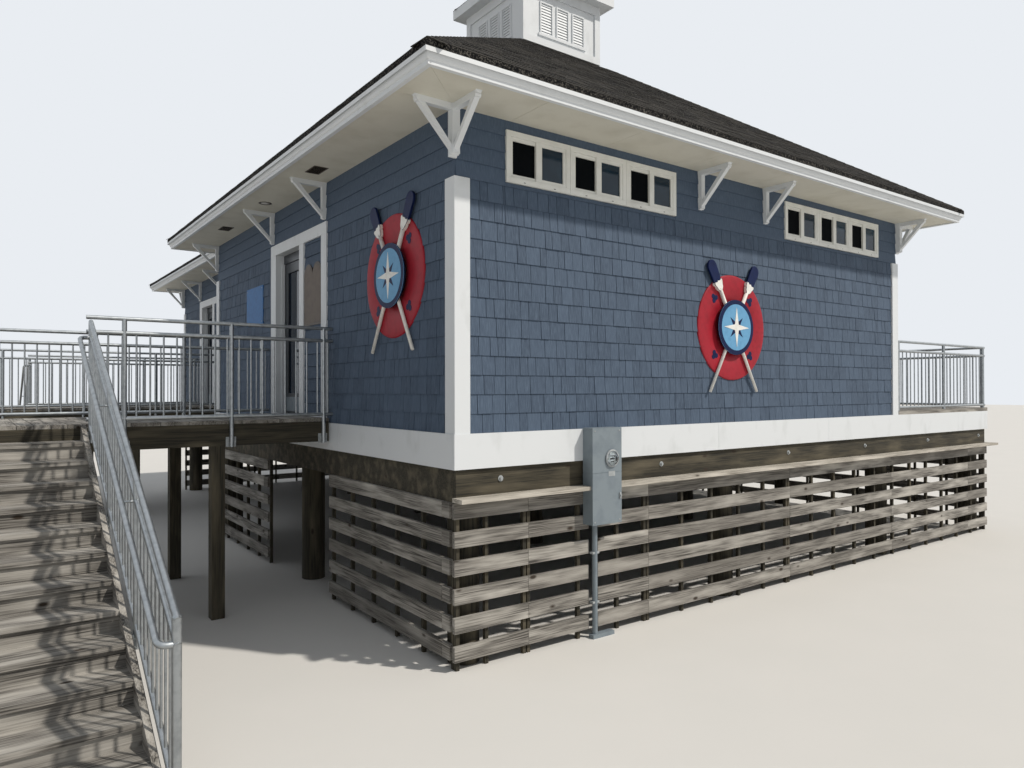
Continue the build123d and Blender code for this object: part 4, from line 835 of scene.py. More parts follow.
# %% Cupola roof
CUPOLA_TIP = 0.010
CUPOLA_EXPOSURE = 0.127
CUPOLA_ROWS = 9
CUPOLA_HIGH = 0.160
CUPOLA_WIDTH = 0.200
CUPOLA_BUTT = 0.008
PEAK_INSET = 0.040
TIP_INSET = 0.050
FOOT_INSET = 0.020
CAP_SEAT = 0.012
low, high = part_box("cupola_roof")
cupola_eave = high.x
cupola_edge_z = high.z - (cupola_eave - CUPOLA_TIP) * SLOPE
tip_z = high.z - TIP_INSET * SLOPE - CAP_SEAT
cap_foot = cupola_eave - FOOT_INSET
meshes = []
for outward, x, y in ((SOUTH, -1, -1), (EAST, 1, -1), (NORTH, 1, 1), (WEST, -1, 1)):
    meshes.append(roof_slope((x * cupola_eave, y * cupola_eave, cupola_edge_z), outward, 2 * cupola_eave,
                             cupola_eave - PEAK_INSET, Exposure=CUPOLA_EXPOSURE, Rows=CUPOLA_ROWS,
                             High=CUPOLA_HIGH, Width=CUPOLA_WIDTH, Butt=CUPOLA_BUTT, Left_lean=HIP_LEAN,
                             Right_lean=HIP_LEAN, Seed=17))
    meshes.append(cap_line((x * cap_foot, y * cap_foot, cupola_edge_z + CAP_SEAT),
                           (x * TIP_INSET, y * TIP_INSET, tip_z), HIP_FALL, 0.09, 0.12, 0.05))
gather("cupola_shingles", meshes)

# %% [markdown]
# The soffit is painted panels with a thin open joint between them and a mitre at each corner. They
# hang just under the solid soffit, and a row whose ends lean outwards gives the mitre.

# %% Soffit panels
soffit_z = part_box("soffit")[0].z
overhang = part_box("soffit")[1].x - half
PANEL_SKIN = 0.005
PANEL_LONG = 1.22
gather("soffit_panels", [
    lay(Vector((*corner, soffit_z)), UP.cross(outward), outward, -UP, Length=length, Exposure=overhang,
        Width=PANEL_LONG, Joint=0.004, Butt=PANEL_SKIN, Left_lean=-left, Right_lean=-right,
        Highest=overhang, Seed=2, Material=CREAM)
    for name, corner, outward, length, left, right in WALL_SIDES
])

# %% [markdown]
# The skirt is wide horizontal slats on upright battens, all bare timber. The battens are a darker
# treated timber, partly painted shade of the space behind the slats. The south side has its slats
# cut to either side of the meter's conduit, with joints over doubled battens. The same tree lays the
# slats in rows, and each batten as one tall board.

# %% Skirt slats and battens
SLATS = 6
SLAT_HEIGHT = 0.140
SLAT_PITCH = 0.254
SLAT_THICK = 0.038
SLAT_JOINT = 0.004
BATTEN = 0.036
BATTEN_DEPTH = 0.04
BATTEN_PITCH = 0.56
SOUTH_BATTENS = (-3.631, -3.195, -3.145, -2.509, -1.963, -1.552, -1.502, -0.942, -0.42, 0.1, 0.6)
# Where slats end on the south side. The conduit passes between the second and the third
SOUTH_ENDS = (-3.17, -2.400, -2.276, -1.527, 1.112)
BESIDE_JOINT = 0.025
PAST_JOINT = 0.006
slat_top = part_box("skirt_south")[1].z
slat_base = slat_top - SLAT_HEIGHT - (SLATS - 1) * SLAT_PITCH


def slats(start, end, outward, seed, board=2.64):
    """Slats between two points on the platform's edge, seen from outside from left to right."""
    start = Vector((start[0], start[1], slat_base))
    end = Vector((end[0], end[1], slat_base))
    axis = "X" if abs(outward.y) > 0 else "Y"
    return lay(start, UP.cross(outward), UP, outward, Length=(end - start).length, Exposure=SLAT_PITCH,
               Rows=SLATS, High=SLAT_HEIGHT, Width=board, Joint=SLAT_JOINT, Butt=SLAT_THICK, Uneven=0.08,
               Highest=2.0, Seed=seed, Material=SILVER[axis])


def battens(start, outward, places):
    """Upright battens behind the slats, at distances from the left end."""
    meshes = []
    along = UP.cross(outward)
    for place in places:
        foot = Vector((start[0], start[1], 0)) + along * (place - BATTEN / 2) - outward * BATTEN_DEPTH
        meshes.append(lay(foot, along, UP, outward, Length=BATTEN, Exposure=slat_top, Width=1.0,
                          Butt=BATTEN_DEPTH, Highest=slat_top, Seed=int(place * 100), Material=TREATED_SHADE["Z"]))
    return meshes


def even_battens(left, right):
    """Batten places over one stretch, with one at each end."""
    bays = max(1, round((right - left) / BATTEN_PITCH))
    return [left + BATTEN / 2 + k * (right - left - BATTEN) / bays for k in range(bays + 1)]


ends = (-half - SLAT_THICK, *SOUTH_ENDS, east_edge)
meshes = []
for k in (0, 1, 3, 4, 5):
    meshes.append(slats((ends[k], -half), (ends[k + 1], -half), SOUTH, k + 1))
places = [BATTEN / 2, *[x + half for x in SOUTH_BATTENS]]
places += [SOUTH_ENDS[-1] - BESIDE_JOINT + half]
places += even_battens(SOUTH_ENDS[-1] + half + PAST_JOINT, east_edge + half)
meshes += battens((-half, -half), SOUTH, places)
gather("slats_south", meshes, replaced=("skirt_south",))

low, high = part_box("skirt_east")
meshes = [slats((east_edge, low.y), (east_edge, high.y), EAST, 5)]
meshes += battens((east_edge, low.y), EAST, even_battens(0, high.y - low.y))
gather("slats_east", meshes, replaced=("skirt_east",))

low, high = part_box("skirt_north")
meshes = [slats((high.x, rear_end), (low.x, rear_end), NORTH, 6)]
meshes += battens((high.x, rear_end), NORTH, even_battens(0, high.x - low.x))
gather("slats_north", meshes, replaced=("skirt_north",))

meshes = []
for low, high in solids_of("skirt_west"):
    meshes.append(slats((-half, high.y), (-half, low.y), WEST, 7))
    meshes += battens((-half, high.y), WEST, even_battens(0, high.y - low.y))
gather("slats_west", meshes, replaced=("skirt_west",))

# %% [markdown]
# Decks and walkways are planks laid across their joists with a gap to drain. Seen from above they
# matter as much as the walls do.

# %% Deck boards
PLANK = 0.140
PLANK_GAP = 0.006
meshes = []
for low, high in solids_of("walkway_boards"):
    rows = math.ceil((high.x - low.x) / PLANK)
    meshes.append(lay(Vector((low.x, high.y, low.z)), SOUTH, EAST, UP, Length=high.y - low.y,
                      Exposure=PLANK, Rows=rows, High=PLANK - PLANK_GAP, Width=4.0, Butt=high.z - low.z,
                      Highest=high.x - low.x, Seed=8, Material=SILVER["Y"]))
gather("planks_walkways", meshes, replaced=("walkway_boards",))

low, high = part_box("east_deck_boards")


def deck_planks(x0, x1, y0, y1, seed):
    """Planks along X over one rectangle of the open deck."""
    return lay(Vector((x0, y0, low.z)), EAST, NORTH, UP, Length=x1 - x0, Exposure=PLANK,
               Rows=math.ceil((y1 - y0) / PLANK), High=PLANK - PLANK_GAP, Width=3.66, Joint=0.003,
               Butt=high.z - low.z, Highest=y1 - y0, Seed=seed, Material=SILVER["X"])


corner_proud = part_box("corner_boards")[1].x - half
gather("planks_east_deck", [
    deck_planks(half + corner_proud, high.x, low.y, half + corner_proud, 9),
    deck_planks(rear_half + corner_proud, high.x, half + corner_proud, high.y, 10),
], replaced=("east_deck_boards",))

# %% [markdown]
# The white band is boards butted end to end, with a hairline joint that the sun picks out. Where two
# sides meet, one runs past the other.

# %% White band
low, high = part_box("water_table")
thick = -half - low.y
band = high.z - low.z
z = low.z


def band_row(start, outward, length, seed):
    """Boards of the white band along one side, from its left end."""
    return lay(Vector(start), UP.cross(outward), UP, outward, Length=length, Exposure=band, Width=3.2,
               Spread=0.35, Joint=0.003, Butt=thick, Highest=band, Seed=seed, Material=WHITE)


gather("band_boards", [
    band_row((-half - thick, -half, z), SOUTH, east_edge + half + 2 * thick, 4),
    band_row((east_edge, -half, z), EAST, rear_end + half, 5),
    band_row((east_edge + thick, rear_end, z), NORTH, east_edge + rear_half + 2 * thick, 6),
    band_row((-rear_half, rear_end, z), WEST, rear_side, 7),
    band_row((-rear_half, half, z), NORTH, return_side + thick, 8),
    band_row((-half, half, z), WEST, 2 * half, 9),
], replaced=("water_table",))

# %% [markdown]
# Guards are welded aluminium pipe: three rails, posts that run down past the deck, and thin pickets.
# A run is one line with things set along it, and a stair's run only differs by its rise. Round
# sections are what give pipe its soft highlight, so each is a circle swept along a line.


# %% Tree that makes a run of guard
def tube(tree, start, end, radius, sides):
    """A closed pipe between two points."""
    line = add(tree, "GeometryNodeCurvePrimitiveLine", {"Start": start, "End": end}).outputs[0]
    circle = add(tree, "GeometryNodeCurvePrimitiveCircle", {"Resolution": sides, "Radius": radius}).outputs[0]
    swept = {"Curve": line, "Profile Curve": circle, "Fill Caps": True}
    return add(tree, "GeometryNodeCurveToMesh", swept).outputs[0]


def guard_tree():
    """A run of guard along +x from the origin, where z 0 is the walking line at its start."""
    sizes = ("Length", "Rise", "Top", "Second", "Bottom", "Foot", "Margin", "End margin")
    sections = ("Post radius", "Rail radius", "Picket radius", "Pitch")
    tree, given = new_tree("guard", sizes + sections, ("Posts",))
    slope = maths(tree, "DIVIDE", given["Rise"], given["Length"])
    parts = []

    def point(x, z):
        return add(tree, "ShaderNodeCombineXYZ", {0: x, 2: z}).outputs[0]

    def on_line(x):
        return point(x, maths(tree, "MULTIPLY", x, slope))

    for name in ("Top", "Second", "Bottom"):
        height = maths(tree, "SUBTRACT", given[name], given["Rail radius"])
        end = point(given["Length"], maths(tree, "ADD", height, given["Rise"]))
        parts.append(tube(tree, point(0.0, height), end, given["Rail radius"], 14))

    def stand(first, last, count, low, high, radius, sides):
        """Upright pipes at even distances from first to last."""
        ends = {"Count": count, "Start Location": on_line(first), "Offset": on_line(last)}
        line = add(tree, "GeometryNodeMeshLine", ends, mode="END_POINTS").outputs[0]
        pipe = tube(tree, point(0.0, low), point(0.0, high), radius, sides)
        parts.append(add(tree, "GeometryNodeInstanceOnPoints", {"Points": line, "Instance": pipe}).outputs[0])

    post_top = maths(tree, "SUBTRACT", given["Top"], given["Rail radius"])
    last_post = maths(tree, "SUBTRACT", given["Length"], given["End margin"])
    down = maths(tree, "MULTIPLY", given["Foot"], -1.0)
    stand(given["Margin"], last_post, given["Posts"], down, post_top, given["Post radius"], 14)
    bays = maths(tree, "ROUND", maths(tree, "DIVIDE", given["Length"], given["Pitch"]))
    gap = maths(tree, "DIVIDE", given["Length"], bays)
    first = maths(tree, "MULTIPLY", gap, 0.5)
    last = maths(tree, "SUBTRACT", given["Length"], first)
    picket_low = maths(tree, "SUBTRACT", given["Bottom"], given["Rail radius"])
    picket_high = maths(tree, "SUBTRACT", given["Second"], given["Rail radius"])
    stand(first, last, bays, picket_low, picket_high, given["Picket radius"], 8)

    joined = add(tree, "GeometryNodeJoinGeometry")
    for part in reversed(parts):
        tree.links.new(part, joined.inputs[0])
    real = add(tree, "GeometryNodeRealizeInstances", {"Geometry": joined.outputs[0]}).outputs[0]
    smooth = add(tree, "GeometryNodeSetShadeSmooth", {0: real}).outputs[0]
    return end_tree(tree, given, smooth)


GUARD = guard_tree()
PIPE = 0.048
RAIL = 0.042
PICKET = 0.019
PICKET_PITCH = 0.127
TOP_RAIL = 1.09
SECOND_RAIL = 0.945
BOTTOM_RAIL = 0.07
GUARD_LINE = 0.034
deck_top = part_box("walkway_boards")[1].z


def guard_run(start, end, posts, margins, foot, walking=None):
    """A run of guard between two points of its line in plan."""
    low, high = walking or (deck_top, deck_top)
    start = Vector((start[0], start[1], low))
    way = Vector((end[0] - start.x, end[1] - start.y, 0))
    mesh = run_tree(GUARD, {
        "Length": way.length, "Rise": high - low, "Top": TOP_RAIL, "Second": SECOND_RAIL,
        "Bottom": BOTTOM_RAIL, "Foot": foot, "Margin": margins[0], "End margin": margins[1],
        "Post radius": PIPE / 2, "Rail radius": RAIL / 2, "Picket radius": PICKET / 2,
        "Pitch": PICKET_PITCH, "Posts": posts, "Material": ALUMINIUM})
    along = way.normalized()
    mesh.transform(face_frame(start, along, UP, along.cross(UP)))
    return mesh


# %% [markdown]
# Small parts are made by hand: timbers with eased edges, round bars, and bolts. An edge is never
# perfectly sharp, and the thin bright line along it is what tells the eye so.


# %% Small parts
def eased_box(shell, low, high, ease=0.002):
    """Adds a straight-sided piece between two corners, with its edges eased."""
    low, high = Vector(low), Vector(high)
    place = Matrix.Translation((low + high) / 2) @ Matrix.Diagonal((*(high - low), 1.0))
    made = bmesh.ops.create_cube(shell, size=1.0, matrix=place)
    edges = {edge for vertex in made["verts"] for edge in vertex.link_edges}
    if ease:
        bmesh.ops.bevel(shell, geom=list(edges), offset=ease, segments=2, profile=0.5, affect="EDGES")


def rod(shell, start, end, radius, sides=12, end_radius=None):
    """Adds a round bar between two points, tapered where it has a second radius."""
    start = Vector(start)
    way = Vector(end) - start
    turn = way.to_track_quat("Z", "Y").to_matrix().to_4x4()
    place = Matrix.Translation(start + way / 2) @ turn
    bmesh.ops.create_cone(shell, cap_ends=True, segments=sides, radius1=radius,
                          radius2=end_radius or radius, depth=way.length, matrix=place)


def bolt(shell, place, outward, size=0.018):
    """Adds a hexagon head on a washer, standing out of a surface."""
    place = Vector(place)
    rod(shell, place, place + outward * size * 0.15, size * 1.1, 16)
    rod(shell, place + outward * size * 0.15, place + outward * size * 0.8, size * 0.62, 6)


@contextlib.contextmanager
def painted(shell, index):
    """Gives the faces that are made inside this block the material of that number."""
    before = set(shell.faces)
    yield
    for face in set(shell.faces) - before:
        face.material_index = index


def mesh_of(shell, *materials, place=None):
    """Closes a shell into a mesh with its materials, and moves it to its place."""
    bmesh.ops.recalc_face_normals(shell, faces=shell.faces)
    mesh = bpy.data.meshes.new("made")
    shell.to_mesh(mesh)
    shell.free()
    for material in materials:
        mesh.materials.append(material)
    if place is not None:
        mesh.transform(place)
    return mesh


def bent_pipe(points, bend, radius, material):
    """A pipe through several points, with its corners rounded to a bend."""
    points = [Vector(p) for p in points]
    path = [points[0]]
    for before, corner, after in zip(points, points[1:], points[2:]):
        into = corner + (before - corner).normalized() * bend
        out = corner + (after - corner).normalized() * bend
        for k in range(9):
            share = k / 8
            path.append(into * (1 - share) ** 2 + corner * 2 * share * (1 - share) + out * share ** 2)
    path.append(points[-1])
    curve = bpy.data.curves.new("pipe", "CURVE")
    curve.dimensions = "3D"
    curve.bevel_depth = radius
    curve.bevel_resolution = 3
    curve.use_fill_caps = True
    spline = curve.splines.new("POLY")
    spline.points.add(len(path) - 1)
    for spot, place in zip(spline.points, path):
        spot.co = (*place, 1.0)
    holder = bpy.data.objects.new("pipe", curve)
    bpy.context.scene.collection.objects.link(holder)
    mesh = evaluated_mesh(holder)
    mesh.materials.clear()
    mesh.materials.append(material)
    mesh.polygons.foreach_set("use_smooth", [True] * len(mesh.polygons))
    return mesh


PLATE = 0.110
PLATE_THICK = 0.010


def foot_plates(places, inward):
    """Plates with two bolts each, between the posts and the timber. places are (x, y, foot)."""
    shell = bmesh.new()
    across = UP.cross(inward)
    for x, y, foot in places:
        middle = Vector((x, y, foot + PLATE / 2)) + inward * (GUARD_LINE - PLATE_THICK / 2)
        corner = (across + UP) * PLATE / 2 + inward * PLATE_THICK / 2
        near, far = middle - corner, middle + corner
        eased_box(shell, Vector(map(min, near, far)), Vector(map(max, near, far)), 0.0015)
        for side in (-1, 1):
            for level in (-1, 1):
                spot = middle + across * side * 0.04 + UP * level * 0.03 - inward * PLATE_THICK / 2
                bolt(shell, spot, -inward, 0.011)
    return mesh_of(shell, ZINC)


# %% [markdown]
# The pipes stand 34 mm off the timber's edge on their plates. So each run's line follows from the
# edges of the boards.

# %% Guards of the walkways and stairs
FOOT = 0.290
STAIR_FOOT = 0.120
FIRST_POST = 0.117
LAST_SIDE_POST = 2.240
GOING = 0.305
RISERS = 14
NEWEL = 0.055
HANDRAIL = 0.940
HANDRAIL_REACH = 0.100
RISE = deck_top / RISERS
stair_west, stair_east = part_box("stair_stringers")[0].x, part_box("stair_stringers")[1].x
band_thick = 0.038
walk_meshes = []
stair_meshes = []
for walk_low, walk_high in solids_of("walkway_boards"):
    side = SOUTH if walk_low.y < 0 else NORTH
    stair_side = walk_low.y if side == SOUTH else walk_high.y
    back_side = walk_high.y if side == SOUTH else walk_low.y
    stair_y = stair_side + side.y * GUARD_LINE
    back_y = back_side - side.y * GUARD_LINE
    end_x = walk_low.x - GUARD_LINE
    wall_x = walk_high.x + band_thick
    foot_z = deck_top - FOOT
    side_run = wall_x - stair_east
    walk_meshes.append(guard_run((wall_x, stair_y), (stair_east, stair_y), 3,
                                 (FIRST_POST, side_run - LAST_SIDE_POST), FOOT))
    middle_post = (FIRST_POST + LAST_SIDE_POST) / 2
    spots = [(wall_x - d, stair_y, foot_z) for d in (FIRST_POST, middle_post, LAST_SIDE_POST)]
    walk_meshes.append(foot_plates(spots, -side))
    back_run = wall_x - end_x
    walk_meshes.append(guard_run((wall_x, back_y), (end_x, back_y), 5, (FIRST_POST, FIRST_POST), FOOT))
    step = (back_run - 2 * FIRST_POST) / 4
    spots = [(wall_x - FIRST_POST - k * step, back_y, foot_z) for k in range(5)]
    walk_meshes.append(foot_plates(spots, side))
    corner_y = back_y + side.y * (PIPE / 2)
    walk_meshes.append(guard_run((end_x, corner_y), (end_x, stair_y), 3, (PLATE, PLATE), FOOT))
    step = (abs(stair_y - corner_y) - 2 * PLATE) / 2
    spots = [(end_x, corner_y + side.y * (PLATE + k * step), foot_z) for k in range(3)]
    walk_meshes.append(foot_plates(spots, EAST))

    top_y = stair_side + side.y * 2 * PIPE
    foot_y = stair_side + side.y * (RISERS - 1) * GOING
    run = abs(foot_y - top_y)
    top_z = deck_top - 2 * PIPE * RISE / GOING
    low_z = top_z - run * RISE / GOING
    for x, inward in ((stair_east + GUARD_LINE, WEST), (stair_west - GUARD_LINE, EAST)):
        ends = (PIPE / 2, PIPE / 2)
        stair_meshes.append(guard_run((x, top_y), (x, foot_y), 4, ends, STAIR_FOOT, (top_z, low_z)))
        spots = []
        arms = []
        for k in range(4):
            distance = PIPE / 2 + k * (run - PIPE) / 3
            y = top_y + side.y * distance
            level = top_z - distance * RISE / GOING
            spots.append((x, y, level - STAIR_FOOT))
            arms.append(Vector((x, y, level + HANDRAIL - RAIL / 2)))
        stair_meshes.append(foot_plates(spots, inward))
        reach = inward * HANDRAIL_REACH
        hand = [arms[0], arms[0] + reach, arms[3] + reach, arms[3]]
        stair_meshes.append(bent_pipe(hand, 0.06, RAIL / 2, ALUMINIUM))
        shell = bmesh.new()
        for arm in arms[1:3]:
            rod(shell, arm, arm + reach, 0.009, 10)
        newel_top = arms[3] + UP * (TOP_RAIL - HANDRAIL)
        rod(shell, (newel_top.x, newel_top.y, spots[3][2]), newel_top, NEWEL / 2, 20)
        cap = Matrix.Translation(newel_top) @ Matrix.Diagonal((1, 1, 0.6, 1))
        bmesh.ops.create_uvsphere(shell, u_segments=20, v_segments=10, radius=NEWEL / 2, matrix=cap)
        for face in shell.faces:
            face.smooth = len(face.verts) < 5
        stair_meshes.append(mesh_of(shell, ALUMINIUM))
gather("guards_walkways", walk_meshes, replaced=("walkway_guards",))
gather("guards_stairs", stair_meshes, replaced=("stair_rails",))

# %% Guards of the east deck
low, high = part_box("east_deck_boards")
south_y = low.y + GUARD_LINE
north_y = high.y - GUARD_LINE
line_x = high.x - GUARD_LINE
near = half + corner_proud
far = rear_half + corner_proud
gap = PIPE / 2
gather("guards_deck", [
    guard_run((near, south_y), (line_x - gap, south_y), 3, (PIPE, PIPE), 0.0),
    guard_run((line_x, south_y), (line_x, north_y), 9, (PIPE, PIPE), 0.0),
    guard_run((far, north_y), (line_x - gap, north_y), 4, (PIPE, PIPE), 0.0),
], replaced=("deck_guards",))

# %% [markdown]
# The rim beam is bolted through to the piles. Each bolt is a hexagon head on a broad washer, and its
# zinc catches the light.

# %% Rim beam bolts
BOLT_Z = 1.69
BOLT_SIZE = 0.026
BOLT_X = (-3.473, -1.286, 1.132, 3.05, 4.997, 6.9)
SIDE_BOLTS = 7
SIDE_INSET = 0.5
side_step = (rear_end + half - 2 * SIDE_INSET) / (SIDE_BOLTS - 1)
shell = bmesh.new()
for x in BOLT_X:
    bolt(shell, (x, -half, BOLT_Z), SOUTH, BOLT_SIZE)
    if x > -rear_half:
        bolt(shell, (x, rear_end, BOLT_Z), NORTH, BOLT_SIZE)
for k in range(SIDE_BOLTS):
    bolt(shell, (east_edge, -half + SIDE_INSET + k * side_step, BOLT_Z), EAST, BOLT_SIZE)
gather("beam_bolts", [mesh_of(shell, ZINC)])

# %% [markdown]
# Every window row is three sliding units side by side, each in its own case. The real depth is in the
# sashes: the fixed pane on the right sits near the face, and the sliding half on the left runs one
# track further in, behind an insect screen. The screen is near-black, which is the charcoal of its mesh
# and painted shade of the unlit room behind it, and the fixed pane is an opaque dark blue, painted shade
# of the room and a painted reflection of the sky. Rings of four bars with eased edges give those steps,
# and each bottom rail has its two weep slots, thin near-black plates of painted shade.


# %% Window units
def frame_ring(shell, left, right, low, high, width, front, back):
    """A rectangular frame on a wall face: x across, z up, y into the wall."""
    eased_box(shell, (left, front, low), (right, back, low + width))
    eased_box(shell, (left, front, high - width), (right, back, high))
    eased_box(shell, (left, front, low + width), (left + width, back, high - width))
    eased_box(shell, (right - width, front, low + width), (right, back, high - width))


def flat_place(low, high):
    """The place of a flat thing's front face, with its width and height."""
    outward = outward_of(low, high)
    along = UP.cross(outward)
    middle = (low + high) / 2
    front = max(low.dot(outward), high.dot(outward))
    face = middle + outward * (front - middle.dot(outward))
    return face_frame(face, along, UP, outward), abs((high - low).dot(along)), high.z - low.z


UNITS = 3
UNIT_SEAM = 0.0015
CASE_FACE = 0.052
CASE_DEPTH = 0.090
SASH_FACE = 0.034
SASH_DEPTH = 0.030
SASH_LAP = 0.010
SLIDING_FRONT = 0.020
FIXED_FRONT = 0.006
INTERLOCK = 0.036
INTERLOCK_FRONT = 0.004
PANE_INSET = 0.016
PANE_THICK = 0.004
WEEP_SHARES = (0.27, 0.74)
WEEP_HALF = 0.011
WEEP_LOW = 0.015
WEEP_HIGH = 0.021
WEEP_PROUD = 0.0004
WEEP_DEEP = 0.004
unit_meshes = []
pane_meshes = []
for low, high in window_boxes:
    place, span, rise = flat_place(low, high)
    unit = span / UNITS
    foot, head = -rise / 2, rise / 2
    sash_foot, sash_head = foot + CASE_FACE, head - CASE_FACE
    shell = bmesh.new()
    panes = bmesh.new()
    for k in range(UNITS):
        centre = (k - (UNITS - 1) / 2) * unit
        left, right = centre - unit / 2 + UNIT_SEAM, centre + unit / 2 - UNIT_SEAM
        frame_ring(shell, left, right, foot, head, CASE_FACE, 0.0, CASE_DEPTH)
        sliding = (left + CASE_FACE, centre, 0.0, SASH_LAP, SLIDING_FRONT)
        fixed = (centre, right - CASE_FACE, SASH_LAP, 0.0, FIXED_FRONT)
        for index, (x0, x1, lap_left, lap_right, front) in enumerate((sliding, fixed)):
            frame_ring(shell, x0 - lap_left, x1 + lap_right, sash_foot, sash_head, SASH_FACE, front,
                       front + SASH_DEPTH)
            with painted(panes, index):
                pane = front + PANE_INSET
                eased_box(panes, (x0, pane, sash_foot), (x1, pane + PANE_THICK, sash_head), 0)
        eased_box(shell, (centre - INTERLOCK, INTERLOCK_FRONT, sash_foot),
                  (centre + INTERLOCK, INTERLOCK_FRONT + SASH_DEPTH, sash_head))
        # The weep slots are thin near-black plates of painted shade.
        with painted(shell, 1):
            for share in WEEP_SHARES:
                x = left + share * unit
                eased_box(shell, (x - WEEP_HALF, -WEEP_PROUD, foot + WEEP_LOW),
                          (x + WEEP_HALF, WEEP_DEEP, foot + WEEP_HIGH), 0)
    unit_meshes.append(mesh_of(shell, VINYL, SHADE_AND_MARK_BLACK, place=place))
    pane_meshes.append(mesh_of(panes, SCREEN_AND_ROOM_SHADE, PANE_SHADE_AND_REFLECTION, place=place))
gather("window_units", unit_meshes, replaced=("window_frames",))

# %% [markdown]
# A doorway is one wide white casing round two things: a glazed door, set back the depth of the wall,
# and a fixed panel. What gives it depth is the deep jamb, the thin stop that the door closes against
# and the dark strip over the door. So it is made of separate boards, as a joiner would.

# %% Doorways
WALL = 0.150
PROUD = 0.030
DOOR_HALF = 0.457
DOOR_MIDDLE = -0.357
DOOR_THICK = 0.045
DOOR_PLAY = 0.005
MULLION = 0.155
CASING = 0.165
HEAD_BOARD = 0.148
HINGE_INSET = 0.250
HINGE_HALF = 0.045
HINGE_RADIUS = 0.007
HINGE_WING = 0.030
HINGE_PLAY = 0.0003
BOARD_EASE = 0.003
THRESHOLD_BACK = -0.002
STOP_WIDE = 0.014
STOP_FRONT = 0.055
STOP_CLEAR = 0.006
TRANSOM_FRONT = 0.090
PANEL_FRONT = 0.004
PANEL_BACK = 0.050
PANEL_STRIP = 0.080
BEAD = 0.016
BEAD_PROUD = 0.003
BEAD_BACK = 0.012
KICK_HALF = 0.400
KICK_LOW = 0.030
KICK_HIGH = 0.230
GLASS_FRONT = WALL - 0.0255
GLASS_BACK = WALL - 0.0195
floor_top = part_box("floor")[1].z
door_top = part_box("front_door")[1].z
light_low, light_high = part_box("front_door_glass")[0].z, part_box("front_door_glass")[1].z
LIGHT_HALF = 0.337
casing_meshes = []
trim_meshes = []
moving_meshes = []
panel_meshes = []
for low, high in doorway_boxes:
    place, span, rise = flat_place(low, high)
    place = Matrix.Translation((0, 0, -place.translation.z)) @ place @ Matrix.Translation((0, PROUD, 0))
    side = span / 2
    door_left, door_right = DOOR_MIDDLE - DOOR_HALF - DOOR_PLAY, DOOR_MIDDLE + DOOR_HALF + DOOR_PLAY
    panel_left, panel_right = door_right + MULLION, side - CASING
    head = high.z - HEAD_BOARD
    shell = bmesh.new()
    for x0, x1 in ((-side, door_left), (door_right, panel_left), (panel_right, side)):
        eased_box(shell, (x0, -PROUD, low.z), (x1, WALL, head), BOARD_EASE)
    eased_box(shell, (-side, -PROUD, head), (side, WALL, high.z), BOARD_EASE)
    eased_box(shell, (door_left, -PROUD, low.z), (panel_right, THRESHOLD_BACK, floor_top), 0.004)
    stop_back = WALL - DOOR_THICK - STOP_CLEAR
    for x0, x1 in ((door_left, door_left + STOP_WIDE), (door_right - STOP_WIDE, door_right)):
        eased_box(shell, (x0, STOP_FRONT, floor_top), (x1, stop_back, door_top))
    with painted(shell, 1):
        eased_box(shell, (door_left, TRANSOM_FRONT, door_top + DOOR_PLAY), (door_right, WALL, head))
        hinge_x = door_left + DOOR_PLAY / 2
        hinge_y = WALL + HINGE_RADIUS
        for level in (floor_top + HINGE_INSET, (floor_top + door_top) / 2, door_top - HINGE_INSET):
            foot, tip = level - HINGE_HALF, level - HINGE_PLAY
            rod(shell, (hinge_x, hinge_y, foot), (hinge_x, hinge_y, tip), HINGE_RADIUS)
            eased_box(shell, (hinge_x - HINGE_WING, WALL, foot), (hinge_x, WALL + HINGE_RADIUS / 2, tip), 0)
    casing_meshes.append(mesh_of(shell, WHITE, DOOR_GREY, place=place))

    # Lap boards on the fixed panel, up to the head board
    outward = outward_of(low, high)
    corner = place @ Vector((panel_left, PANEL_FRONT, floor_top))
    height = head - floor_top
    rows = math.ceil(height / lap_exposure)
    panel_meshes.append(lay(corner, UP.cross(outward), UP, outward, Length=panel_right - panel_left,
                            Exposure=lap_exposure, Rows=rows, High=lap_exposure + LAP_OVER, Width=3.0,
                            Butt=LAP_BUTT, Top=0.2, Highest=height, Material=SHINGLE))
    # The near-black strip under the head board is painted shade.
    shell = bmesh.new()
    eased_box(shell, (panel_left, PANEL_FRONT, head - PANEL_STRIP), (panel_right, PANEL_BACK, head), 0)
    panel_meshes.append(mesh_of(shell, JOINT_SHADE, place=place))

    # Glazing beads round the light, a kick plate, and the pane of a door that has no joint
    shell = bmesh.new()
    face = WALL - DOOR_THICK
    light_left, light_right = DOOR_MIDDLE - LIGHT_HALF, DOOR_MIDDLE + LIGHT_HALF
    frame_ring(shell, light_left, light_right, light_low, light_high, BEAD, face - BEAD_PROUD,
               face + BEAD_BACK)
    with painted(shell, 1):
        eased_box(shell, (DOOR_MIDDLE - KICK_HALF, face - BEAD_PROUD, floor_top + KICK_LOW),
                  (DOOR_MIDDLE + KICK_HALF, face, floor_top + KICK_HIGH))
    trim = mesh_of(shell, DOOR_GREY, CABINET_GREY, place=place)
    if outward == WEST and low.y < 0 < high.y:
        moving_meshes.append(trim)
    else:
        trim_meshes.append(trim)
        # The door's pane takes the glass whose dark tint is painted shade of the room behind.
        shell = bmesh.new()
        eased_box(shell, (light_left, GLASS_FRONT, light_low), (light_right, GLASS_BACK, light_high), 0)
        pane_meshes.append(mesh_of(shell, ROOM_SHADE_GLASS, place=place))
gather("doorway_boards", casing_meshes, replaced=("doorway_casings",))
gather("cladding_entry_panels", panel_meshes)
gather("door_trim_fixed", trim_meshes)
gather("door_trim_front", moving_meshes, body="front_door_leaf")
gather("window_panes", pane_meshes, replaced=("window_glass",))

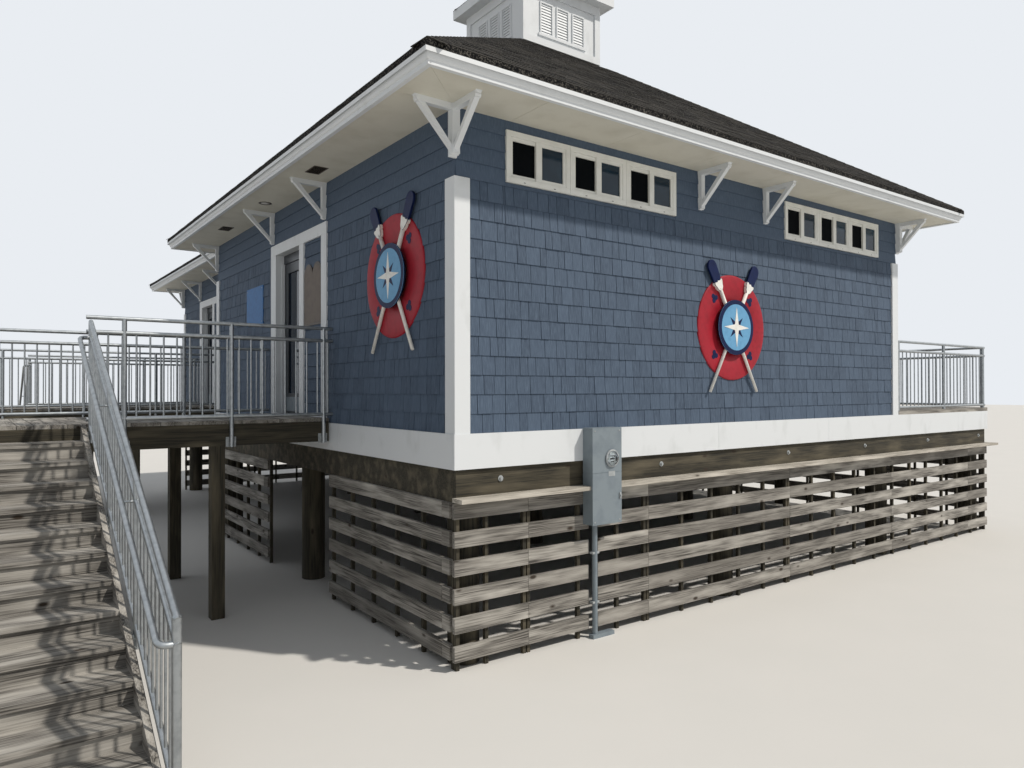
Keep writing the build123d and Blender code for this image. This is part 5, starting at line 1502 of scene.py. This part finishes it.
# %% [markdown]
# The roundels are the station's ornament: a flat red ring cut from board, two crossed oars halved into
# each other, and a round plaque over them. A turned ring is a profile swept round its axis. An oar's
# blade and its collar are outlines with thickness, and its shaft is a tapered round bar. The plaque
# is a plain compass rose, and four plain trefoils stand on the ring.


# %% Roundel parts
def flat_shape(shell, outline, back, front, index=0, ease=0.006):
    """A flat plate from an outline of (x, z) points, between two depths that count outward."""
    rear = [shell.verts.new((x, -back, z)) for x, z in outline]
    fore = [shell.verts.new((x, -front, z)) for x, z in outline]
    made = [shell.faces.new(fore), shell.faces.new(list(reversed(rear)))]
    for k in range(len(outline)):
        j = (k + 1) % len(outline)
        made.append(shell.faces.new((fore[k], rear[k], rear[j], fore[j])))
    for face in made:
        face.material_index = index
    if ease:
        rim = list(made[0].edges)
        bmesh.ops.bevel(shell, geom=rim, offset=ease, segments=3, profile=0.6, affect="EDGES")


def arc(radius, first, last, steps, middle=(0, 0)):
    """Points on an arc, by angles in degrees from +x."""
    turns = [math.radians(first + (last - first) * k / steps) for k in range(steps + 1)]
    return [(middle[0] + radius * math.cos(t), middle[1] + radius * math.sin(t)) for t in turns]


def turned(shell, profile, index=0, steps=72):
    """A closed profile of (radius, depth) points turned about the y axis. Depth counts outward."""
    rings = []
    for k in range(steps):
        turn = 2 * math.pi * k / steps
        rings.append([shell.verts.new((r * math.cos(turn), -d, r * math.sin(turn))) for r, d in profile])
    for k, ring in enumerate(rings):
        after = rings[(k + 1) % steps]
        for j in range(len(profile)):
            i = (j + 1) % len(profile)
            face = shell.faces.new((ring[j], ring[i], after[i], after[j]))
            face.smooth = True
            face.material_index = index


RING_THICK = 0.024
RING_HOLE = 0.26
OAR_LENGTH = 1.78
OAR_TILT = math.radians(30)
OAR_THICK = 0.044
BLADE_HALF = 0.075
BLADE_END = 0.585
BLADE_THICK = 0.022
COLLAR_THICK = 0.036
HALF_COLLAR = ((0.0, 0.632), (0.026, 0.606), (0.058, 0.632), (0.077, 0.612), (0.070, 0.585),
               (0.052, 0.574), (0.056, 0.553), (0.044, 0.527), (0.026, 0.498))
SHAFT_TOP = 0.530
SHAFT_FOOT_RADIUS = 0.017
SHAFT_TOP_RADIUS = 0.0235
PLAQUE_RADIUS = 0.330
PLAQUE_BACK = RING_THICK + OAR_THICK
PLAQUE_FRONT = PLAQUE_BACK + 0.022
EDGE_ROUND = 0.014
TREFOIL_REACH = 0.475
LOBE = 0.030


def oar(tilt):
    """One oar, as a mesh with a navy blade, and a white shaft and collar."""
    shell = bmesh.new()
    middle = RING_THICK + OAR_THICK / 2
    top = OAR_LENGTH / 2
    blade = arc(BLADE_HALF, 0, 180, 16, (0, top - BLADE_HALF))
    blade += [(-BLADE_HALF * 0.9, BLADE_END + 0.03), (-BLADE_HALF * 0.7, BLADE_END)]
    blade += [(BLADE_HALF * 0.7, BLADE_END), (BLADE_HALF * 0.9, BLADE_END + 0.03)]
    flat_shape(shell, blade, middle - BLADE_THICK / 2, middle + BLADE_THICK / 2, 0, 0.007)
    collar = [*HALF_COLLAR, *((-x, z) for x, z in reversed(HALF_COLLAR[1:]))]
    flat_shape(shell, collar, middle - COLLAR_THICK / 2, middle + COLLAR_THICK / 2, 1, 0.005)
    before = set(shell.faces)
    rod(shell, (0, -middle, -top), (0, -middle, SHAFT_TOP), SHAFT_FOOT_RADIUS, 20, SHAFT_TOP_RADIUS)
    for face in set(shell.faces) - before:
        face.material_index = 1
        face.smooth = len(face.verts) == 4
    return mesh_of(shell, NAVY, OAR_WHITE, place=Matrix.Rotation(tilt, 4, "Y"))


def plaque(radius):
    """A plain compass rose: a navy rim, a pale blue field and two crossed four-pointed stars."""
    shell = bmesh.new()
    flat_shape(shell, arc(radius, 0, 354, 59), PLAQUE_BACK, PLAQUE_FRONT - 0.006, 1)
    flat_shape(shell, arc(radius * 0.84, 0, 354, 59), PLAQUE_FRONT - 0.007, PLAQUE_FRONT - 0.004, 0, 0.001)
    for turn, long, index, front in ((math.pi / 4, 0.50, 1, 0.002), (0.0, 0.72, 2, 0.0)):
        star = []
        for k in range(8):
            angle = math.pi * k / 4 + turn
            reach = radius * (long if k % 2 == 0 else 0.15)
            star.append((reach * math.cos(angle), reach * math.sin(angle)))
        flat_shape(shell, star, PLAQUE_FRONT - 0.005, PLAQUE_FRONT - front, index, 0.0)
    return mesh_of(shell, PALE_BLUE, NAVY, OAR_WHITE)


def trefoils():
    """Four small navy trefoils on the ring's diagonals."""
    shell = bmesh.new()
    for middle in (45, 135, 225, 315):
        for lobe in (middle, middle + 120, middle + 240):
            x = TREFOIL_REACH * math.cos(math.radians(middle)) + LOBE * math.cos(math.radians(lobe))
            z = TREFOIL_REACH * math.sin(math.radians(middle)) + LOBE * math.sin(math.radians(lobe))
            outline = arc(LOBE, 0, 340, 17, (x, z))
            flat_shape(shell, outline, RING_THICK - 0.006, RING_THICK + 0.004, 0, 0.0015)
    return mesh_of(shell, NAVY)


ring_meshes = []
oar_meshes = []
plaque_meshes = []
mark_meshes = []
for low, high in solids_of("life_rings"):
    outward = outward_of(low, high)
    centre = (low + high) / 2
    thick = min(high.x - low.x, high.y - low.y)
    outer = (high.z - low.z) / 2
    place = face_frame(centre - outward * thick / 2, UP.cross(outward), UP, outward)
    shell = bmesh.new()
    edge = arc(EDGE_ROUND, 0, 90, 4, (outer - EDGE_ROUND, RING_THICK - EDGE_ROUND))
    turned(shell, [(RING_HOLE, 0.0), (outer, 0.0), *edge, (outer - 0.05, RING_THICK + 0.001),
                   (RING_HOLE + 0.01, RING_THICK), (RING_HOLE, RING_THICK - 0.01)])
    made = ((mesh_of(shell, RING_RED), ring_meshes), (oar(OAR_TILT), oar_meshes),
            (oar(-OAR_TILT), oar_meshes), (plaque(PLAQUE_RADIUS), plaque_meshes),
            (trefoils(), mark_meshes))
    for mesh, meshes in made:
        mesh.transform(place)
        meshes.append(mesh)
gather("rings", ring_meshes, replaced=("life_rings",))
gather("oars", oar_meshes, replaced=("crossed_oars",))
gather("plaques", plaque_meshes, replaced=("medallions",))
gather("ring_marks", mark_meshes)

# %% [markdown]
# The eave brackets are three timbers each: a leg on the wall, an arm under the soffit and a straight
# brace between them. The free ends are cut in two scallops. At a corner two of them share one leg,
# which stands just outside the corner, so both are set out from it by half a timber.

# %% Eave brackets
TIMBER = 0.060
CORNER_POST = 0.078
LEG = 0.470
REACH = 0.450
SCALLOPS = (0.018, 0.026)
SCALLOP_STEP = 0.036
BRACE_FACE = 0.046
BRACE_LIFT = 0.020
BRACE_SHY = 0.004
SOFFIT_GAP = 0.001


def bracket(place, outward, post=TIMBER, with_leg=True):
    """One bracket on a wall, its soffit point given. Its arm butts against the leg."""
    shell = bmesh.new()
    t = TIMBER
    small, large = SCALLOPS
    foot = arc(small, 180, 50, 8, (post - SCALLOP_STEP, -LEG)) + arc(large, 150, 90, 6, (post, -LEG))
    leg = [(0.0, -SOFFIT_GAP), (0.0, -LEG), *foot, (post, -SOFFIT_GAP)]
    nose = arc(small, 90, 220, 8, (REACH, -t + SCALLOP_STEP)) + arc(large, 120, 180, 6, (REACH, -t))
    arm = [(post, -SOFFIT_GAP), (REACH, -SOFFIT_GAP), *nose, (post, -t)]
    far = REACH - t
    low = BRACE_LIFT - far
    brace = [(post, low), (post, low - BRACE_FACE), (far + BRACE_FACE / 2, -t), (far - BRACE_FACE, -t)]
    timbers = [(list(reversed(arm)), t / 2), (brace, t / 2 - BRACE_SHY)]
    if with_leg:
        timbers.append((leg, post / 2))
    for outline, half_thick in timbers:
        flat_shape(shell, outline, -half_thick, half_thick, 0, 0.0)
    turn = Matrix((outward, UP.cross(outward), UP)).transposed().to_4x4()
    turn.translation = Vector((place[0], place[1], soffit_z))
    return mesh_of(shell, WHITE, place=turn)


meshes = []
PAIR_SOUTH = 0.625
PAIR_DOOR = 0.960
window_span = window_boxes[0][1].x - window_boxes[0][0].x
beside_window = window_span / 2 + TIMBER
rear_middle = half + 3.707
for x, y in ((-half, -half), (half, -half), (-rear_half, rear_end), (rear_half, rear_end)):
    east = EAST if x > 0 else WEST
    north = NORTH if y > 0 else SOUTH
    meshes.append(bracket((x + east.x * CORNER_POST / 2, y), north, CORNER_POST))
    meshes.append(bracket((x, y + north.y * CORNER_POST / 2), east, CORNER_POST, with_leg=False))
for x in (-PAIR_SOUTH, PAIR_SOUTH):
    meshes.append(bracket((x, -half), SOUTH))
for y in (-PAIR_DOOR, PAIR_DOOR, half - TIMBER / 2):
    meshes.append(bracket((-half, y), WEST))
    meshes.append(bracket((half, y), EAST))
for side in (-1, 1):
    meshes.append(bracket((side * beside_window, rear_end), NORTH))
    meshes.append(bracket((-rear_half, rear_middle + side * PAIR_DOOR), WEST))
    meshes.append(bracket((rear_half, rear_middle + side * beside_window), EAST))
gather("brackets", meshes, replaced=("eave_brackets",))

# %% [markdown]
# The cupola's louvres are thin blades at one spacing, each tilted to throw off the rain, with a
# near-black plate behind them that is painted shade. That is a row of copies along a line, so a small
# tree sets them. It also makes the slats of the soffit vents.


# %% Tree that sets blades in a row
def blades_tree():
    """Tilted blades one above another from the origin, long along x, the lower edge out towards -y."""
    tree, given = new_tree("blades", ("Length", "Chord", "Thick", "Tilt", "Pitch"), ("Count",))
    step = add(tree, "ShaderNodeCombineXYZ", {2: given["Pitch"]}).outputs[0]
    line = add(tree, "GeometryNodeMeshLine", {"Count": given["Count"], "Offset": step}).outputs[0]
    sides = {0: given["Length"], 1: given["Thick"], 2: given["Chord"]}
    size = add(tree, "ShaderNodeCombineXYZ", sides).outputs[0]
    blade = add(tree, "GeometryNodeMeshCube", {"Size": size}).outputs[0]
    turn = add(tree, "ShaderNodeCombineXYZ", {0: given["Tilt"]}).outputs[0]
    copies = {"Points": line, "Instance": blade, "Rotation": turn}
    laid = add(tree, "GeometryNodeInstanceOnPoints", copies).outputs[0]
    laid = add(tree, "GeometryNodeRealizeInstances", {"Geometry": laid}).outputs[0]
    return end_tree(tree, given, laid)


BLADES = blades_tree()
LOUVRE_PITCH = 0.0437
LOUVRE_COUNT = 11
LOUVRE_TILT = math.radians(-18)
PANEL_PITCH = 0.325
PANEL_HALF = 0.128
PANEL_STILE = 0.022
PANEL_DEEP = 0.020
PANEL_LAP = 0.010
BACK_INSET = 0.004
BACK_FRONT = 0.030
BACK_REAR = 0.036
BLADE_FRONT = 0.002
louvre_low, louvre_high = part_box("cupola_louvres")
cupola_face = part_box("cupola_walls")[1].x - 0.025
louvre_half = (louvre_high.z - louvre_low.z) / 2
meshes = []
for outward in (SOUTH, EAST, NORTH, WEST):
    origin = outward * cupola_face + UP * (louvre_low.z + louvre_half)
    place = face_frame(origin, UP.cross(outward), UP, outward)
    shell = bmesh.new()
    for column in (-1, 0, 1):
        x = column * PANEL_PITCH
        edge, back = louvre_half + PANEL_LAP, PANEL_HALF - BACK_INSET
        frame_ring(shell, x - PANEL_HALF, x + PANEL_HALF, -edge, edge, PANEL_STILE, -PANEL_DEEP, PANEL_DEEP)
        # The plate behind the blades is painted shade of the dark space inside the cupola.
        with painted(shell, 1):
            eased_box(shell, (x - back, BACK_FRONT, -louvre_half), (x + back, BACK_REAR, louvre_half), 0)
        blades = run_tree(BLADES, {"Length": 2 * (PANEL_HALF - PANEL_STILE), "Chord": 0.046, "Thick": 0.007,
                                   "Tilt": LOUVRE_TILT, "Pitch": LOUVRE_PITCH, "Count": LOUVRE_COUNT,
                                   "Material": WHITE})
        lowest = -LOUVRE_PITCH * (LOUVRE_COUNT - 1) / 2
        blades.transform(place @ Matrix.Translation((x, BLADE_FRONT, lowest)))
        meshes.append(blades)
    meshes.append(mesh_of(shell, WHITE, SHADE_AND_MARK_BLACK, place=place))
gather("louvre_panels", meshes, replaced=("cupola_louvres",))

# %% [markdown]
# The soffit over the doors has two louvred vents and a recessed light. All hang a few millimetres
# under the panels, so their edges throw a thin line.

# %% Soffit vents and light
VENT_LONG = 0.30
VENT_WIDE = 0.17
VENT_RIM = 0.012
VENT_DROP = 0.006
VENT_PLACES = (-1.42, 2.37)
LIGHT_PLACE = 0.44
FITTING_REACH = 0.30
under = soffit_z - PANEL_SKIN
long, wide = VENT_LONG / 2, VENT_WIDE / 2
meshes = []
for side in (-1, 1):
    x = side * (half + FITTING_REACH)
    for y in VENT_PLACES:
        place = face_frame(Vector((x, y, under)), NORTH, EAST, -UP)
        shell = bmesh.new()
        frame_ring(shell, -long, long, -wide, wide, VENT_RIM, -VENT_DROP, 0.0)
        # A near-black plate inside the rim is painted shade of the vent's interior.
        with painted(shell, 1):
            eased_box(shell, (0.002 - long, -0.001, 0.002 - wide), (long - 0.002, 0.0, wide - 0.002), 0)
        meshes.append(mesh_of(shell, BRONZE, SHADE_AND_MARK_BLACK, place=place))
        blades = run_tree(BLADES, {"Length": VENT_LONG - 0.02, "Chord": 0.012, "Thick": 0.0015,
                                   "Tilt": math.radians(-50), "Pitch": 0.016, "Count": 9,
                                   "Material": BRONZE})
        blades.transform(place @ Matrix.Translation((0, -0.005, -0.064)))
        meshes.append(blades)
    shell = bmesh.new()
    turned(shell, [(0.055, 0.0), (0.085, 0.0), (0.085, 0.004), (0.078, 0.007), (0.058, 0.005)], 0, 40)
    turned(shell, [(0.001, 0.0), (0.056, 0.0), (0.056, 0.002), (0.001, 0.002)], 1, 40)
    place = face_frame(Vector((x, LIGHT_PLACE, under)), NORTH, EAST, -UP)
    meshes.append(mesh_of(shell, BRONZE, OAR_WHITE, place=place))
gather("soffit_fittings", meshes)

# %% [markdown]
# The roof's edge has a thin drip strip under the shingles, painted white like the fascia below it.

# %% Drip edges
DRIP_LOW = 5.120
DRIP_TALL = 0.040
DRIP_SKIN = 0.002
DRIP_BACK = 0.0025
DRIP_LENGTH = 3.0
gather("drip_edges", [
    lay(Vector((*corner, DRIP_LOW)) - outward * DRIP_BACK, UP.cross(outward), UP, outward, Length=length,
        Exposure=DRIP_TALL, Width=DRIP_LENGTH, Joint=0.001, Butt=DRIP_SKIN, Highest=DRIP_TALL, Material=WHITE)
    for name, corner, outward, length, left, right in EAVE_SIDES
])

# %% [markdown]
# The electricity meter is a glass dome on a steel flange, with a pale dial behind it. Plain marks
# stand for its register. The cabinet has a latch and a bare plate, and straps hold the conduit.

# %% Meter and conduit fittings
low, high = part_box("meter_dome")
centre = (low + high) / 2
place = face_frame(Vector((centre.x, high.y, centre.z)), EAST, UP, SOUTH)
shell = bmesh.new()
flange = [(0.070, 0.0), (0.090, 0.0), (0.090, 0.014), (0.084, 0.020), (0.074, 0.020), (0.070, 0.012)]
turned(shell, flange, 0, 48)
turned(shell, [(0.001, 0.0), (0.071, 0.0), (0.071, 0.008), (0.001, 0.008)], 1, 48)
with painted(shell, 2):
    for k in range(5):
        x = -0.040 + 0.020 * k
        rod(shell, (x, -0.008, 0.026), (x, -0.010, 0.026), 0.0075, 16)
    eased_box(shell, (-0.034, -0.0095, -0.012), (0.034, -0.008, 0.004), 0)
    eased_box(shell, (-0.022, -0.0095, -0.042), (0.022, -0.008, -0.030), 0)
gather("meter_dial", [mesh_of(shell, ZINC, OAR_WHITE, SHADE_AND_MARK_BLACK, place=place)])
turns = [math.pi / 2 * k / 10 for k in range(10)]
dome = [(0.073 * math.cos(a), 0.014 + 0.044 * math.sin(a)) for a in turns]
shell = bmesh.new()
turned(shell, [(0.070, 0.010), *dome, (0.001, 0.058), (0.001, 0.055), (0.035, 0.050), (0.060, 0.035)], 0, 48)
gather("meter_glass", [mesh_of(shell, CLEAR, place=place)], replaced=("meter_dome",))

low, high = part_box("meter_cabinet")
shell = bmesh.new()
front = low.y
eased_box(shell, (high.x - 0.035, front - 0.012, 1.405), (high.x - 0.012, front, 1.465), 0.002)
eased_box(shell, (high.x - 0.030, front - 0.024, 1.425), (high.x - 0.018, front - 0.010, 1.445), 0.002)
eased_box(shell, (centre.x - 0.045, front - 0.0015, 1.640), (centre.x + 0.045, front, 1.690), 0)
for level in (0.35, 0.85):
    eased_box(shell, (-2.395, -4.052, level), (-2.305, -4.001, level + 0.022), 0.002)
for x in (low.x + 0.03, high.x - 0.03):
    bolt(shell, (x, front, low.z + 2.10), SOUTH, 0.008)
    bolt(shell, (x, front, low.z + 1.19), SOUTH, 0.008)
gather("meter_fittings", [mesh_of(shell, ZINC)])

# %% [markdown]
# Two bare boards hang by the door: a tablet with a double-arched top on the fixed panel, and a plain
# blue board on the shingles. Neither carries any lettering.

# %% Bare sign boards
SIGN_THICK = 0.018
FIXING_INSET = 0.040
FIXING_SIZE = 0.008
meshes = []
for low, high in solids_of("sign_boards"):
    place, span, rise = flat_place(low, high)
    side, foot = span / 2, -rise / 2
    shell = bmesh.new()
    if low.y < 0:
        turn = side / 2
        shoulder = rise / 2 - turn
        tops = arc(turn, 0, 165, 11, (turn, shoulder)) + arc(turn, 15, 180, 11, (-turn, shoulder))
        for shrink, front, index in ((1.0, 0.0, 0), (0.93, 0.002, 1)):
            outline = [(x * shrink, z * shrink) for x, z in [(-side, foot), (side, foot), *tops]]
            flat_shape(shell, outline, -SIGN_THICK, front, index, 0.0)
        meshes.append(mesh_of(shell, TABLET_EDGE, TAN, place=place))
    else:
        eased_box(shell, (-side, 0.0, foot), (side, SIGN_THICK, -foot), 0.003)
        with painted(shell, 1):
            for x in (FIXING_INSET - side, side - FIXING_INSET):
                for z in (foot + FIXING_INSET, -foot - FIXING_INSET):
                    bolt(shell, (x, 0.0, z), SOUTH, FIXING_SIZE)
        meshes.append(mesh_of(shell, SIGN_BLUE, ZINC, place=place))
gather("bare_boards", meshes, replaced=("sign_boards",))

# %% [markdown]
# The floor is a plain pale plane. The world behind it is plain too, and shows the same pale colour to
# the camera, to mirrors and through glass, while the light that falls on the building stays at its
# own level. One soft lamp stands for the sun, so that laps and slats keep their shadow lines.

# %% Floor, light and background
FLOOR_REACH = 120.0
shell = bmesh.new()
bmesh.ops.create_grid(shell, x_segments=4, y_segments=4, size=FLOOR_REACH)
floor = bpy.data.objects.new("floor_stage", mesh_of(shell))
bpy.context.scene.collection.objects.link(floor)
floor_paint, tree, shader, place, tone = new_material("studio_floor_matt")
mottle = grain(tree, place, 900, 900, "X", 3.0)
tint = blend_colours(tree, mottle, colour("#d9d8d4"), colour("#dedcd8"))
tree.links.new(tint, shader.inputs["Base Color"])
shader.inputs["Roughness"].default_value = 0.9
finish_with(floor, floor_paint)

world = bpy.data.worlds.new("studio")
world.use_nodes = True
bpy.context.scene.world = world
tree = world.node_tree
tree.nodes.clear()
path = add(tree, "ShaderNodeLightPath").outputs
indirect = maths(tree, "MAXIMUM", path["Is Glossy Ray"], path["Is Transmission Ray"])
seen = maths(tree, "MAXIMUM", path["Is Camera Ray"], indirect)
light = add(tree, "ShaderNodeBackground", {"Color": colour("#eef2f8"), "Strength": 0.42}).outputs[0]
backdrop = add(tree, "ShaderNodeBackground", {"Color": colour("#e9edf2"), "Strength": 1.0}).outputs[0]
shown = add(tree, "ShaderNodeMixShader", {0: seen, 1: light, 2: backdrop}).outputs[0]
add(tree, "ShaderNodeOutputWorld", {"Surface": shown})

sun_data = bpy.data.lights.new("key", "SUN")
sun_data.energy = 2.9
sun_data.angle = math.radians(2)
sun_data.color = colour("#fff8ee")[:3]
sun = bpy.data.objects.new("key", sun_data)
bpy.context.scene.collection.objects.link(sun)
SUN_TURN = math.radians(38)
SUN_HEIGHT = math.radians(46)
level = math.cos(SUN_HEIGHT)
sun_from = Vector((math.sin(SUN_TURN) * level, -math.cos(SUN_TURN) * level, math.sin(SUN_HEIGHT)))
sun.matrix_world = sun_from.to_track_quat("Z", "Y").to_matrix().to_4x4()
bpy.context.scene.view_settings.view_transform = "Standard"
print("stage: floor", 2 * FLOOR_REACH, "m wide, one sun and a plain sky")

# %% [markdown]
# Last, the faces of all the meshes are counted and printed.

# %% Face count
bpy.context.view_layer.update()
faces = sum(len(thing.data.polygons) for thing in bpy.data.objects if thing.type == "MESH")
print("faces in all", faces)
